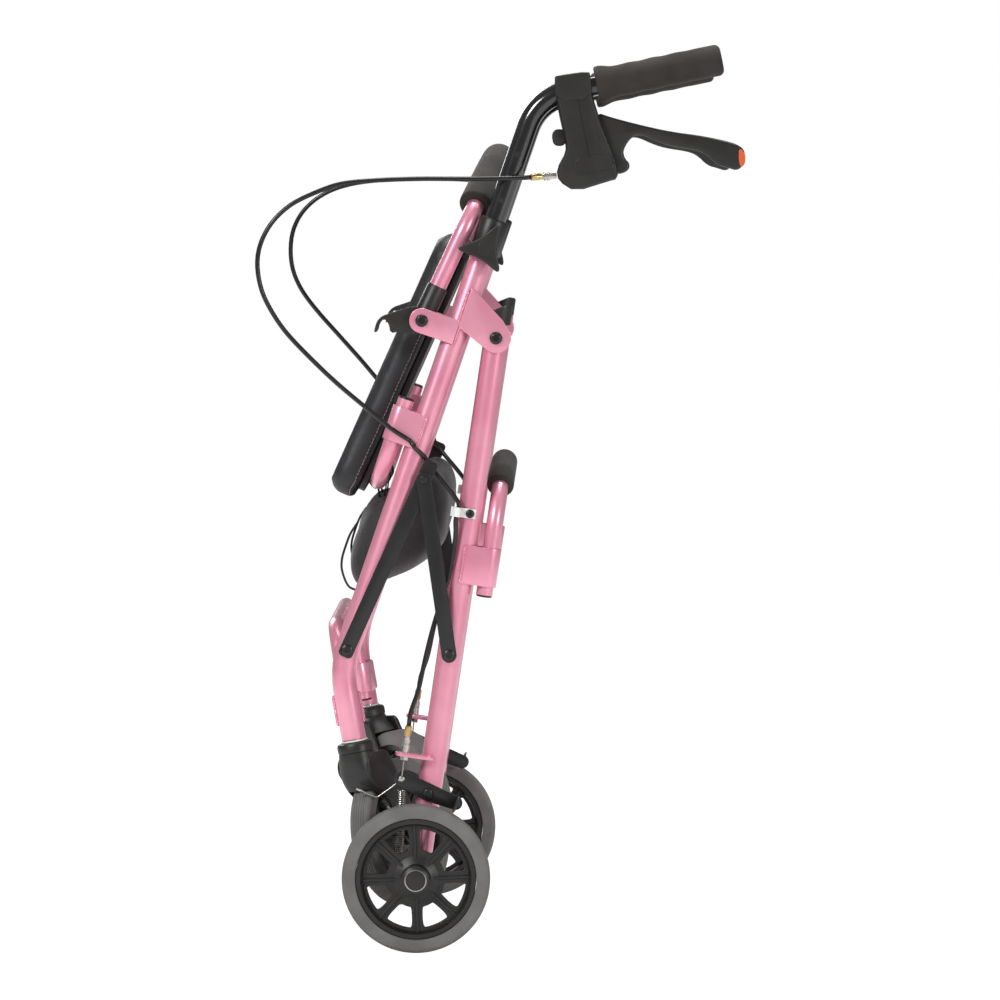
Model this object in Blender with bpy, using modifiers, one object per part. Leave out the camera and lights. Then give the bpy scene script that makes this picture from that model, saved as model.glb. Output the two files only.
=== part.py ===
"""Folding four-wheeled walker (rollator) with seat, drawn folded, as it stands on its rear wheels.

Metres, +Z up. The user stands at +X and walks towards -X, so the left side frame is at -Y. The origin is
on the floor under the middle of the whole object. In the side view a tube is a Line: s runs up along it
and n runs square to it, towards the front. "out" is a distance outwards from the plane of a side frame.
"""
import math

import bmesh
import bpy
from mathutils import Matrix, Vector

OBJECT_NAME = "rollator"
LEFT, RIGHT = -1, 1
SIDES = ((LEFT, "left"), (RIGHT, "right"))

# Clearance between pieces, and the distance within which points of one mesh become one
GAP = 0.0003
WELD = 0.00002

# Side frames, on both sides of the seat
SEAT_WIDTH = 0.376
SEAT_SIDE_GAP = 0.0193
FRAME_TUBE = 0.0254
FRAME_SPACING = SEAT_WIDTH + 2 * SEAT_SIDE_GAP + FRAME_TUBE
FRAME_WALL = 0.0012
TUBE_SIDES = 16

# Rear leg, measured up from the rear axle
LEG_LEAN = math.radians(8.4)
FOLD_PIVOT_UP = 0.5595
LEG_FOOT = 0.031
LEG_ABOVE_PIVOT = 0.015
LEG_CAP_HEIGHT = 0.0345
BRACE_SCREW_UP = 0.2298
CLIP_UP = 0.3770

# Front leg, measured from the point of its axis that is nearest the fold pivot
MAIN_LEAN = math.radians(19.0)
MAIN_OFFSET = 0.0404
MAIN_TOP = 0.1080
MAIN_KNEE = -0.3735
KNEE_RADIUS = 0.105
STEM_LEAN = math.radians(-10.0)
STEM_LEG = 0.0755
FRONT_BRACE_SCREW = -0.3536

# Fold: how far the rear frame swings open, and the stop that ends it
FOLD_OPEN = math.radians(49.3)

# Plates
PLATE = 0.003
GUSSET_RADIUS = 0.0154
GUSSET_TOP = 0.039
GUSSET_SHOULDER = 0.0177
PIVOT_BOLT = 0.008
HEAD_SINK = PLATE / 2  # how far the heads on the backrest bolt sit in the brackets, so that the solids join cleanly
BRACKET_RADIUS = 0.0128
BACKREST_PIVOT_S = -0.0078
BACKREST_PIVOT_N = 0.0376

# Cross bars and the sheet wraps that hold them
BAR_TUBE = 0.0170
BAR_WALL = 0.0015
BAR_SIDES = 10
BAR_BEND = 0.045
BAR_STANDOFF = 0.0265
UPPER_BAR_END = -0.090
UPPER_BAR_S = -0.181
UPPER_WRAP = (-0.135, -0.099)
LOWER_BAR_INSET = 0.0262
LOWER_BAR_END = 0.009
LOWER_BAR_RISE = 0.1153
LOWER_WRAP = (0.016, 0.048)
REAR_BAR_END = -0.264
REAR_BAR_S = -0.1425
REAR_WRAP = (-0.255, -0.215)
REAR_BAR_BEND = 0.055
WRAP_SHEET = 0.002

# Handles
HANDLE_TUBE = 0.0218
HANDLE_WALL = 0.0015
HANDLE_INSIDE = 0.160
HANDLE_KNEE = 0.2474
HANDLE_BEND = 0.055
HANDLE_RISE = math.radians(11.6)
GRIP_START = 0.0620
GRIP_END = 0.1935
GRIP_DIAMETER = 0.0325
GRIP_FLARE = 0.0385
GRIP_FLARE_LENGTH = 0.008
GRIP_CAP = 0.004

# Height clamp
COLLAR_DIAMETER = 0.0310
COLLAR_LOW = 0.072
COLLAR_LIP = 0.007
KNOB_S = 0.0835
BOSS_RADIUS = 0.0095
BOSS_OUT = 0.0195
KNOB_TIP = 0.0278
KNOB_WAIST = 0.0105
KNOB_THICKNESS = 0.0120
KNOB_STUD = 0.006

# Brake housing, lever and cable
HOUSING_WIDTH = 0.034
LEVER_WIDTH = 0.014
LEVER_PIVOT = (0.0628, -0.0437)
LEVER_PIN = 0.005
SLOT_LOW = (0.0460, -0.1100)
SLOT_HIGH = (0.1200, -0.0080)
LATCH_LOW = (0.0152, -0.0480)
LATCH_HIGH = (0.0300, -0.0327)
LATCH_HALF = 0.007
CABLE_DIAMETER = 0.0048
CABLE_SIDES = 6
CABLE_SPAN = 0.022

# Wheels
WHEEL_DIAMETER = 0.1524
TYRE_WIDTH = 0.025
TYRE_SHOULDER = 0.005
RIM_DIAMETER = 0.1238
RIM_WIDTH = 0.022
RIM_DEPTH = 0.0065
WEB = 0.006
HUB_DIAMETER = 0.0306
SPOKES = 8
SPOKE_WIDTH = 0.0085
SPOKE_TURN = math.radians(2.0)
WINDOW_INNER = 0.0235
AXLE_DIAMETER = 0.008
WHEEL_SEGMENTS = 24
REAR_WHEEL_OUT = 0.0465
REAR_HUB_WIDTH = 0.036
HUB_CAP_DIAMETER = 0.0290
HUB_CAP_HEIGHT = 0.006
AXLE_HEAD = 0.004

# Casters
CASTER_DROP = 0.1063
CASTER_TRAIL = 0.054
CASTER_SWIVEL = math.radians(58.0)
CASTER_HUB_WIDTH = 0.030
CROWN_DIAMETER = 0.0374
CROWN_CAP = 0.010
CROWN_GROOVE = 0.0012
CROWN_HEIGHT = 0.034
FORK_BLADE = 0.0045
FORK_CLEARANCE = 0.0030
STEM_DIAMETER = 0.012
STEM_DEPTH = 0.030
STEM_PLUG = 0.035
WASHER = 0.002

# Rear brake
ARM_WIDTH = 0.0165
ARM_PIVOT = (0.0119, 0.0848)
ARM_FRONT = (-0.0155, 0.0994)
ARM_BACK = (0.0400, 0.0745)
ARM_TAB_FOOT = (0.0370, 0.0694)
ARM_TAB_TOP = (0.0423, 0.0822)
ARM_BOLT = 0.006
ARM_HEAD = (0.0055, 0.003)  # radius and height
STOP_UP = 0.1215
STOP_REACH = 0.0400
STOP_WIDTH = 0.016
STOP_THICKNESS = 0.004
WIRE_N = 0.0305
ADJUSTER_HEIGHT = 0.028
BARREL_HEIGHT = 0.0145
ADJUSTER_NUT = 0.0045  # radii of the adjuster's nut, neck and barrel
ADJUSTER_NECK = 0.0030
ADJUSTER_BARREL = 0.0040
CABLE_OUT = 0.0145
CLIP_TAB = 0.0018
CLIP_WALL = 0.0014
CLIP_HEIGHT = 0.0098
CLIP_SCREW = 0.005
CLIP_HEAD = (0.0045, 0.0025)
SPRING_DIAMETER = 0.0092
SPRING_WIRE = 0.0012
SPRING_LENGTH = 0.0680
SPRING_DROP = 0.0036
ANCHOR_RADIUS = 0.0075

# Braces
BRACE_WIDTH = 0.0155
BRACE_MEET = (-0.0741, -0.1451)
FRONT_BRACE_TOP = 0.0205
BRACE_SCREW = 0.006
BRACE_HEAD = (0.0058, 0.0022)
RIVET = 0.0085
RIVET_HEAD = 0.0018
NUT_SEAT = 0.0008

# Backrest
BACKREST_LEAN = math.radians(25.0)
BACKREST_TUBE = 0.018
BACKREST_WALL = 0.0015
BACKREST_RISE = 0.182
BACKREST_BOW = 0.047
BACKREST_CORNER = 0.045
BACKREST_TUBE_START = 0.0117
BACKREST_FOAM = 0.035
FOAM_BORE_GAP = 0.0009
FOAM_SIDES = 14
SOCKET_DIAMETER = 0.0216
SOCKET_TOP = 0.0388
SOCKET_WIDTH = 0.0248
SOCKET_EYE = 0.0112
HOOK_WIDTH = 0.016

# Seat
SEAT_LEAN = math.radians(24.1)
SEAT_LENGTH = 0.300
SEAT_THICKNESS = 0.0270
SEAT_OVERHANG = 0.033
SEAT_CORNER = 0.012
BOARD_STANDOFF = 0.0093
BOARD_THICKNESS = 0.0070
BOARD_MARGIN = 0.016
SADDLE_WALL = 0.0032
SADDLE_WIDTH = 0.030
SADDLE_OUT = 0.110

# Rear bar foam
REAR_FOAM = 0.028

# Bag under the seat
BAG_WIDTH = 0.330
BAG_LOOP_OUT = 0.050
BAG_LOOP_WIDTH = 0.030
BAG_LOOP_DROP = 0.003
BAG_CLOTH = 0.0015

# Outlines of moulded pieces: the housing and lever from the handle's knee, the hook from the backrest's
# bolt, the bag from the seat's axis
HOUSING_OUTLINE = (
    (0.0181, 0.0192), (0.0535, 0.0257), (0.0585, -0.0089), (0.0831, -0.0695), (0.0824, -0.0839),
    (0.0737, -0.0861), (0.0390, -0.0970), (0.0217, -0.0861), (0.0195, -0.0738), (0.0297, -0.0551),
    (0.0290, -0.0435), (0.0210, -0.0089), (0.0181, 0.0114),
)
LEVER_OUTLINE = (
    (0.0600, -0.0150), (0.0740, -0.0200), (0.1000, -0.0270), (0.1350, -0.0350), (0.1700, -0.0395),
    (0.2000, -0.0460), (0.2107, -0.0515), (0.2137, -0.0580), (0.2122, -0.0695), (0.2050, -0.0755),
    (0.1963, -0.0724), (0.1848, -0.0695), (0.1733, -0.0580), (0.1616, -0.0537), (0.1401, -0.0508),
    (0.1257, -0.0465), (0.1068, -0.0377), (0.0968, -0.0406), (0.0881, -0.0537), (0.0895, -0.0623),
    (0.0953, -0.0681), (0.0939, -0.0753), (0.0838, -0.0795), (0.0700, -0.0760), (0.0560, -0.0600),
    (0.0520, -0.0437),
)
HOOK_OUTLINE = (
    (0.0030, 0.0110), (-0.0086, 0.0157), (-0.0360, 0.0064), (-0.0400, 0.0050), (-0.0437, 0.0024),
    (-0.0467, -0.0018), (-0.0488, -0.0095), (-0.0488, -0.0125), (-0.0452, -0.0110), (-0.0433, -0.0030),
    (-0.0391, 0.0020), (-0.0340, -0.0030), (-0.0323, -0.0132), (-0.0239, -0.0115), (-0.0086, -0.0152),
    (0.0030, -0.0110),
)
BAG_OUTLINE = (
    (-0.0140, -0.0230), (-0.0260, -0.0520), (-0.0360, -0.0900), (-0.0310, -0.1120), (-0.0200, -0.1190),
    (0.0070, -0.1090), (0.0500, -0.0890), (0.0680, -0.0700), (0.0770, -0.0360), (0.0800, -0.0180),
    (0.0740, 0.0030), (0.0620, 0.0150), (0.0480, 0.0150), (0.0340, 0.0020), (0.0180, -0.0170),
)

# Where the cable ends at the housing, from the knee, and where the clip holds it, in front of the rear leg
HOUSING_CABLE_END = (-0.0063, -0.0820)
HOUSING_CABLE_OUT = 0.012
CLIP_EYE = (0.0135, 0.0180)

# Routes of the brake cables from the housing to the rear leg: x, distance outwards from the side frame, z,
# from the rear axle's point on the floor
CABLE_LOOPS = {
    LEFT: (
        (0.0650, 0.0165, 0.7932), (0.0330, 0.0175, 0.7932), (0.0021, 0.0185, 0.7932), (-0.0393, 0.0200, 0.7917),
        (-0.0760, 0.0215, 0.7882), (-0.1036, 0.0230, 0.7790), (-0.1288, 0.0245, 0.7663), (-0.1472, 0.0260, 0.7491),
        (-0.1587, 0.0270, 0.7284), (-0.1626, 0.0275, 0.7078), (-0.1598, 0.0275, 0.6848), (-0.1518, 0.0270, 0.6642),
        (-0.1357, 0.0260, 0.6389), (-0.1127, 0.0245, 0.6137), (-0.0829, 0.0225, 0.5850), (-0.0531, 0.0205, 0.5597),
        (-0.0255, 0.0190, 0.5368),
    ),
    RIGHT: (
        (0.0650, 0.0165, 0.7910), (0.0330, 0.0175, 0.7925), (-0.0050, 0.0185, 0.7930), (-0.0550, 0.0205, 0.7910),
        (-0.0905, 0.0220, 0.7850), (-0.1160, 0.0235, 0.7740), (-0.1345, 0.0250, 0.7580), (-0.1455, 0.0265, 0.7380),
        (-0.1490, 0.0275, 0.7160), (-0.1465, 0.0275, 0.6930), (-0.1370, 0.0270, 0.6710), (-0.1200, 0.0260, 0.6480),
        (-0.0950, 0.0240, 0.6200), (-0.0700, 0.0220, 0.5920), (-0.0450, 0.0205, 0.5620), (-0.0255, 0.0190, 0.5368),
    ),
}
# Round the front leg and inboard of the front brace's top: s and n of that leg, distance outwards
CABLE_ROUND_LEG = (
    (-0.1285, 0.0080, 0.0180), (-0.1340, 0.0012, 0.0176), (-0.1372, -0.0064, 0.0146), (-0.1388, -0.0100, 0.0119),
    (-0.1404, -0.0120, 0.0100), (-0.1425, -0.0136, 0.0089), (-0.1520, -0.0280, 0.0088),
)
CABLE_BELOW_CLIP = (
    (0.0400, 0.0150, 0.4250), (0.0345, 0.0120, 0.3900), (0.0255, 0.0118, 0.3600), (0.0165, 0.0118, 0.3300),
    (0.0090, 0.0125, 0.3000), (0.0020, 0.0138, 0.2680),
)

# Colours (sRGB), roughness and metallic value
FINISHES = {
    "pink_paint": ((0.92, 0.62, 0.69), 0.32, 0.2),
    "black_enamel": ((0.03, 0.03, 0.035), 0.18, 0.1),
    "black_plastic": ((0.12, 0.11, 0.11), 0.55, 0.0),
    "black_steel": ((0.05, 0.05, 0.05), 0.4, 0.6),
    "grey_tyre": ((0.45, 0.44, 0.43), 0.7, 0.0),
    "foam": ((0.16, 0.14, 0.12), 0.9, 0.0),
    "vinyl": ((0.17, 0.17, 0.19), 0.5, 0.0),
    "bag_cloth": ((0.20, 0.19, 0.20), 0.85, 0.0),
    "zinc": ((0.75, 0.74, 0.70), 0.35, 1.0),
    "white_nylon": ((0.93, 0.93, 0.93), 0.5, 0.0),
    "cable_black": ((0.05, 0.05, 0.05), 0.4, 0.0),
}


class Line:
    """A tube's axis in the side view: a point on it and its lean from upright, top towards the rear."""

    def __init__(self, x, z, lean):
        self.x = x
        self.z = z
        self.lean = lean

    def at(self, s, n=0.0):
        """Return (x, z) of the point s up the axis and n in front of it."""
        x = self.x + s * math.sin(self.lean) - n * math.cos(self.lean)
        z = self.z + s * math.cos(self.lean) + n * math.sin(self.lean)
        return (x, z)

    def up(self):
        return Vector((math.sin(self.lean), 0.0, math.cos(self.lean)))

    def front(self):
        return Vector((-math.cos(self.lean), 0.0, math.sin(self.lean)))


WHEEL_RADIUS = WHEEL_DIAMETER / 2
HALF_SPACING = FRAME_SPACING / 2
TUBE_RADIUS = FRAME_TUBE / 2
BAR_RADIUS = BAR_TUBE / 2
PLATE_OUT = TUBE_RADIUS + GAP
LEG = Line(0.0, WHEEL_RADIUS, LEG_LEAN)
FOLD_PIVOT = LEG.at(FOLD_PIVOT_UP)
MAIN = Line(
    FOLD_PIVOT[0] - MAIN_OFFSET * math.cos(MAIN_LEAN),
    FOLD_PIVOT[1] + MAIN_OFFSET * math.sin(MAIN_LEAN),
    MAIN_LEAN,
)
STEM = Line(*MAIN.at(MAIN_KNEE), STEM_LEAN)
BACKREST_PIVOT = MAIN.at(BACKREST_PIVOT_S, BACKREST_PIVOT_N)
BACKREST = Line(*BACKREST_PIVOT, BACKREST_LEAN)
SEAT_PIVOT = MAIN.at(UPPER_BAR_S, BAR_STANDOFF)
SEAT = Line(*SEAT_PIVOT, SEAT_LEAN)
BRACE_MEET_POINT = (FOLD_PIVOT[0] + BRACE_MEET[0], FOLD_PIVOT[1] + BRACE_MEET[1])


def place(point, side, out=0.0):
    """Return the 3-D point at (x, z) on one side, "out" from the plane of that side frame."""
    return Vector((point[0], side * (HALF_SPACING + out), point[1]))


def clear_scene():
    for old in list(bpy.data.objects):
        bpy.data.objects.remove(old, do_unlink=True)


def collection(name):
    group = bpy.data.collections.new(name)
    bpy.context.scene.collection.children.link(group)
    return group


def linear(value):
    """Return the linear value of one sRGB channel."""
    return value / 12.92 if value <= 0.04045 else ((value + 0.055) / 1.055) ** 2.4


def material(name):
    """Return the named finish, made once."""
    known = bpy.data.materials.get(name)
    if known:
        return known
    colour, roughness, metallic = FINISHES[name]
    made = bpy.data.materials.new(name)
    made.use_nodes = True
    shader = made.node_tree.nodes["Principled BSDF"]
    shader.inputs["Base Color"].default_value = (*map(linear, colour), 1.0)
    shader.inputs["Roughness"].default_value = roughness
    shader.inputs["Metallic"].default_value = metallic
    return made


def new_object(name, data):
    made = bpy.data.objects.new(name, data)
    PARTS.objects.link(made)
    return made


def evaluated(source):
    """Return the evaluated mesh of an object, in world space, and remove the object."""
    bpy.context.view_layer.update()
    seen = source.evaluated_get(bpy.context.evaluated_depsgraph_get())
    mesh = bpy.data.meshes.new_from_object(seen)
    mesh.transform(source.matrix_world)
    bpy.data.objects.remove(source, do_unlink=True)
    return mesh


def welded(mesh):
    """Merge the doubles of a mesh and turn its faces outwards."""
    work = bmesh.new()
    work.from_mesh(mesh)
    bmesh.ops.remove_doubles(work, verts=work.verts, dist=WELD)
    bmesh.ops.recalc_face_normals(work, faces=work.faces)
    work.to_mesh(mesh)
    work.free()
    return mesh


def solid(source):
    return new_object("solid", welded(evaluated(source)))


def axis_matrix(start, direction):
    """Return the matrix that takes +Z at the origin to a direction at a point."""
    turn = Vector((0.0, 0.0, 1.0)).rotation_difference(Vector(direction).normalized())
    return Matrix.Translation(start) @ turn.to_matrix().to_4x4()


def rod(start, end, radius, segments=16):
    """Return a cylinder from one point to another."""
    work = bmesh.new()
    axis = Vector(end) - Vector(start)
    bmesh.ops.create_cone(
        work,
        cap_ends=True,
        segments=segments,
        radius1=radius,
        radius2=radius,
        depth=axis.length,
        matrix=axis_matrix((Vector(start) + Vector(end)) / 2, axis),
    )
    mesh = bpy.data.meshes.new("rod")
    work.to_mesh(mesh)
    work.free()
    return new_object("rod", mesh)


def box(corner_a, corner_b, matrix=None):
    """Return a box between two corners, then moved by a matrix."""
    work = bmesh.new()
    low = Vector([min(a, b) for a, b in zip(corner_a, corner_b)])
    high = Vector([max(a, b) for a, b in zip(corner_a, corner_b)])
    bmesh.ops.create_cube(work, size=1.0)
    bmesh.ops.scale(work, vec=high - low, verts=work.verts)
    bmesh.ops.translate(work, vec=(high + low) / 2, verts=work.verts)
    if matrix:
        work.transform(matrix)
        work.normal_update()
        bmesh.ops.recalc_face_normals(work, faces=work.faces)
    mesh = bpy.data.meshes.new("box")
    work.to_mesh(mesh)
    work.free()
    return new_object("box", mesh)


def turned(profile, start, direction, segments=24):
    """Return the solid that a profile of (radius, height) makes about an axis.

    The profile runs down the outer side, from the top of the axis to its foot, or is a closed ring when
    its first point is repeated at its end.
    """
    ring = profile[0] == profile[-1]
    points = profile[:-1] if ring else profile
    mesh = bpy.data.meshes.new("profile")
    links = [(i, i + 1) for i in range(len(points) - 1)]
    if ring:
        links.append((len(points) - 1, 0))
    mesh.from_pydata([(r, 0.0, h) for r, h in points], links, [])
    source = new_object("profile", mesh)
    screw = source.modifiers.new("turn", "SCREW")
    screw.axis = "Z"
    screw.steps = segments
    screw.render_steps = segments
    screw.use_merge_vertices = True
    screw.merge_threshold = 0.00001
    source.matrix_world = axis_matrix(start, direction)
    return solid(source)


def stepped(steps, start, direction, segments=16):
    """Return a turned solid of (radius, from, to) steps along its axis."""
    profile = [(0.0, steps[-1][2])]
    for radius, low, high in reversed(steps):
        profile.append((radius, high))
        profile.append((radius, low))
    profile.append((0.0, steps[0][1]))
    clean = [p for i, p in enumerate(profile) if i == 0 or p != profile[i - 1]]
    return turned(clean, start, direction, segments)


def rounded_path(points, radius, steps=6):
    """Return the points of a path whose inner corners are arcs of one radius."""
    points = [Vector(p) for p in points]
    path = [points[0]]
    for before, corner, after in zip(points, points[1:], points[2:]):
        back = (before - corner).normalized()
        ahead = (after - corner).normalized()
        half = back.angle(ahead) / 2
        centre = corner + (back + ahead).normalized() * radius / math.sin(half)
        start = (corner + back * radius / math.tan(half) - centre).normalized()
        end = (corner + ahead * radius / math.tan(half) - centre).normalized()
        for i in range(steps + 1):
            path.append(centre + start.slerp(end, i / steps) * radius)
    path.append(points[-1])
    return path


def tube(path, radius, sides, wall=None):
    """Return a tube along a path: closed at its ends, or hollow and open when it has a wall."""
    curve = bpy.data.curves.new("tube", "CURVE")
    curve.dimensions = "3D"
    curve.bevel_depth = radius
    curve.bevel_resolution = (sides - 4) // 2
    curve.use_fill_caps = wall is None
    spline = curve.splines.new("POLY")
    spline.points.add(len(path) - 1)
    for spot, point in zip(spline.points, path):
        spot.co = (*point, 1.0)
    made = solid(new_object("tube", curve))
    if wall is None:
        return made
    shell = made.modifiers.new("wall", "SOLIDIFY")
    shell.thickness = wall
    shell.offset = -1.0
    shell.use_even_offset = True
    return solid(made)


def flat(outline, thickness, matrix=None, holes=()):
    """Return a flat outline in X and Z, made thick along Y about its middle, then moved by a matrix."""
    curve = bpy.data.curves.new("flat", "CURVE")
    curve.dimensions = "2D"
    curve.fill_mode = "BOTH"
    curve.extrude = thickness / 2
    for loop in (outline, *holes):
        spline = curve.splines.new("POLY")
        spline.use_cyclic_u = True
        spline.points.add(len(loop) - 1)
        for spot, point in zip(spline.points, loop):
            spot.co = (point[0], point[1], 0.0, 1.0)
    source = new_object("flat", curve)
    stand = Matrix.Rotation(math.pi / 2, 4, "X")
    source.matrix_world = matrix @ stand if matrix else stand
    return solid(source)


def circle(centre, radius, count=16):
    """Return the points of a circle in the side view."""
    turns = [2 * math.pi * i / count for i in range(count)]
    return [(centre[0] + radius * math.cos(t), centre[1] + radius * math.sin(t)) for t in turns]


def hull(*loops):
    """Return the outline that a band drawn tight around all the points would take."""
    points = sorted({(round(x, 7), round(z, 7)) for loop in loops for x, z in loop})

    def half(ordered):
        chain = []
        for p in ordered:
            while len(chain) > 1 and (
                (chain[-1][0] - chain[-2][0]) * (p[1] - chain[-2][1])
                - (chain[-1][1] - chain[-2][1]) * (p[0] - chain[-2][0])
            ) <= 0:
                chain.pop()
            chain.append(p)
        return chain[:-1]

    return half(points) + half(points[::-1])


def plate(outline, side, out, thickness, holes=()):
    """Return a plate in the side view whose inner face is "out" from the plane of the side frame."""
    middle = side * (HALF_SPACING + out + thickness / 2)
    return flat(outline, thickness, Matrix.Translation((0.0, middle, 0.0)), holes)


def combined(target, others, operation):
    """Return the target joined with, or cut by, each of the others, which are used up."""
    for other in others:
        step = target.modifiers.new(operation.lower(), "BOOLEAN")
        step.operation = operation
        step.solver = "EXACT"
        step.object = other
    mesh = evaluated(target)
    for other in others:
        bpy.data.objects.remove(other, do_unlink=True)
    return new_object("solid", welded(mesh))


def union(target, *others):
    return combined(target, others, "UNION")


def cut(target, *others):
    return combined(target, others, "DIFFERENCE")


def part(name, finish, body, pivot=None):
    """Name one finished body, with its origin on its joint's axis."""
    mesh = body.data
    bpy.data.objects.remove(body, do_unlink=True)
    mesh.name = name
    mesh.materials.append(material(finish))
    mesh.shade_smooth()
    mesh.set_sharp_from_angle(angle=math.radians(35))
    origin = Vector(pivot) if pivot else Vector((0.0, 0.0, 0.0))
    mesh.transform(Matrix.Translation(-origin))
    made = new_object(name, mesh)
    made.location = origin
    return made


def clear(radius, segments=12):
    """Return the radius of a faceted hole whose flats keep the gap to a round piece inside it."""
    return (radius + GAP) / math.cos(math.pi / segments)


def hole_through(point, side, radius, low=-0.05, high=0.05):
    """Return a cutter along Y through one side frame, for a pin of a radius."""
    return rod(place(point, side, low), place(point, side, high), clear(radius), 12)


def side_matrix(line, s, side):
    """Return the frame of a tube at s: X to the front, Y outwards, Z up along the tube."""
    matrix = Matrix.Identity(4)
    matrix.col[0] = (*line.front(), 0.0)
    matrix.col[1] = (*outward(side), 0.0)
    matrix.col[2] = (*line.up(), 0.0)
    matrix.col[3] = (*place(line.at(s), side), 1.0)
    return matrix


def outward(side):
    return Vector((0.0, float(side), 0.0))


def welds(line, side, low, high, near, far):
    """Return the two weld seams that join a tube's flanks with the plates beside it."""
    matrix = side_matrix(line, 0.0, side)
    seams = []
    for sign in (-1, 1):
        inner = sign * (TUBE_RADIUS - 0.0009)
        outer = sign * (PLATE_OUT + 0.0002)
        seams.append(box((near, inner, low), (far, outer, high), matrix))
    return seams


def build_front_legs():
    """The front legs: straight from the clamp down to a knee, then down to the caster stem.

    Each is one weldment: tube, gussets for the fold bolt, brackets for the backrest's bolt, and the sheet
    wraps that hold the cross bars.
    """
    knee = MAIN.at(MAIN_KNEE)
    reach = PLATE_OUT + PLATE
    for side, word in SIDES:
        corners = [place(MAIN.at(MAIN_TOP), side), place(knee, side), place(STEM.at(-STEM_LEG), side)]
        body = tube(rounded_path(corners, KNEE_RADIUS, 4), TUBE_RADIUS, TUBE_SIDES, FRAME_WALL)
        low, high = UPPER_WRAP
        upper = wrap(place(MAIN.at(low), side), MAIN.up(), MAIN.front(), high - low, BAR_STANDOFF)
        low, high = LOWER_WRAP
        lower = wrap(place(STEM.at(low - STEM_LEG), side), STEM.up(), -outward(side), high - low, LOWER_BAR_INSET)
        body = union(
            body,
            *plate_pair(gusset_outline(), side),
            *welds(MAIN, side, 0.001, GUSSET_TOP - 0.001, -0.0040, -0.0005),
            *plate_pair(bracket_outline(), side),
            *welds(MAIN, side, BACKREST_PIVOT_S - 0.010, BACKREST_PIVOT_S + 0.010, 0.0010, 0.0040),
            upper,
            lower,
            bolt(BACKREST_PIVOT, side, HEAD_SINK - reach, reach - HEAD_SINK, PIVOT_BOLT),
            bolt(MAIN.at(FRONT_BRACE_SCREW), side, NUT_SEAT - TUBE_RADIUS, reach + GAP, BRACE_SCREW, *BRACE_HEAD),
        )
        body = cut(
            body,
            hole_through(FOLD_PIVOT, side, PIVOT_BOLT / 2),
            hole_through(MAIN.at(KNOB_S), side, KNOB_STUD / 2, low=0.0),
        )
        part(f"{word}_front_leg", "pink_paint", body)


def gusset_outline():
    """Return the plate that reaches back from the front leg to the fold bolt."""
    corner = 0.002
    return hull(
        circle(MAIN.at(0.0, -MAIN_OFFSET), GUSSET_RADIUS, 16),
        circle(MAIN.at(GUSSET_SHOULDER, -MAIN_OFFSET), corner, 8),
        circle(MAIN.at(GUSSET_TOP, -corner), corner, 8),
        circle(MAIN.at(0.0, -corner), corner, 8),
    )


def bracket_outline():
    """Return the plate that reaches forwards from the front leg to the backrest's bolt."""
    low = BACKREST_PIVOT_S - BRACKET_RADIUS
    high = BACKREST_PIVOT_S + BRACKET_RADIUS
    return hull(
        circle(BACKREST_PIVOT, BRACKET_RADIUS, 16),
        [MAIN.at(low, 0.0005), MAIN.at(high, 0.0005)],
    )


def plate_pair(outline, side):
    """Return the same plate on the inboard and on the outboard face of one side frame."""
    return [plate(outline, side, out, PLATE) for out in (PLATE_OUT, -PLATE_OUT - PLATE)]


def bolt(point, side, inner, outer, shank, head=0.0065, head_height=0.0035, nut_height=0.0045):
    """Return a bolt through one side frame: nut inboard, shank, head outboard."""
    steps = [
        (head, inner - nut_height, inner),
        (shank / 2, inner, outer),
        (head, outer, outer + head_height),
    ]
    return stepped(steps, place(point, side), outward(side), 8)


def build_rear_legs():
    """The rear legs: straight from the rear axle to just above the fold pivot.

    Each carries the wrap of the rear bar, the strip that stops the brake cable, and its screws.
    """
    reach = PLATE_OUT + PLATE + GAP
    for side, word in SIDES:
        ends = [place(LEG.at(-LEG_FOOT), side), place(LEG.at(FOLD_PIVOT_UP + LEG_ABOVE_PIVOT), side)]
        body = tube(ends, TUBE_RADIUS, TUBE_SIDES, FRAME_WALL)
        low, high = REAR_WRAP
        start = place(LEG.at(FOLD_PIVOT_UP + low), side)
        bar_wrap = wrap(start, LEG.up(), -LEG.front(), high - low, BAR_STANDOFF)
        clip_face = PLATE_OUT + CLIP_TAB + GAP
        body = union(
            body,
            bar_wrap,
            cable_stop(side),
            bolt(arm_point(ARM_PIVOT), side, TUBE_RADIUS - 0.004, reach, ARM_BOLT, *ARM_HEAD, 0.0),
            bolt(LEG.at(BRACE_SCREW_UP), side, NUT_SEAT - TUBE_RADIUS, reach + PLATE + GAP, BRACE_SCREW, *BRACE_HEAD),
            bolt(LEG.at(CLIP_UP), side, TUBE_RADIUS - 0.004, clip_face, CLIP_SCREW, *CLIP_HEAD, 0.0),
        )
        body = cut(
            body,
            hole_through(FOLD_PIVOT, side, PIVOT_BOLT / 2),
            hole_through(LEG.at(0.0), side, AXLE_DIAMETER / 2),
        )
        part(f"{word}_rear_leg", "pink_paint", body, place(FOLD_PIVOT, side))


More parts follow.
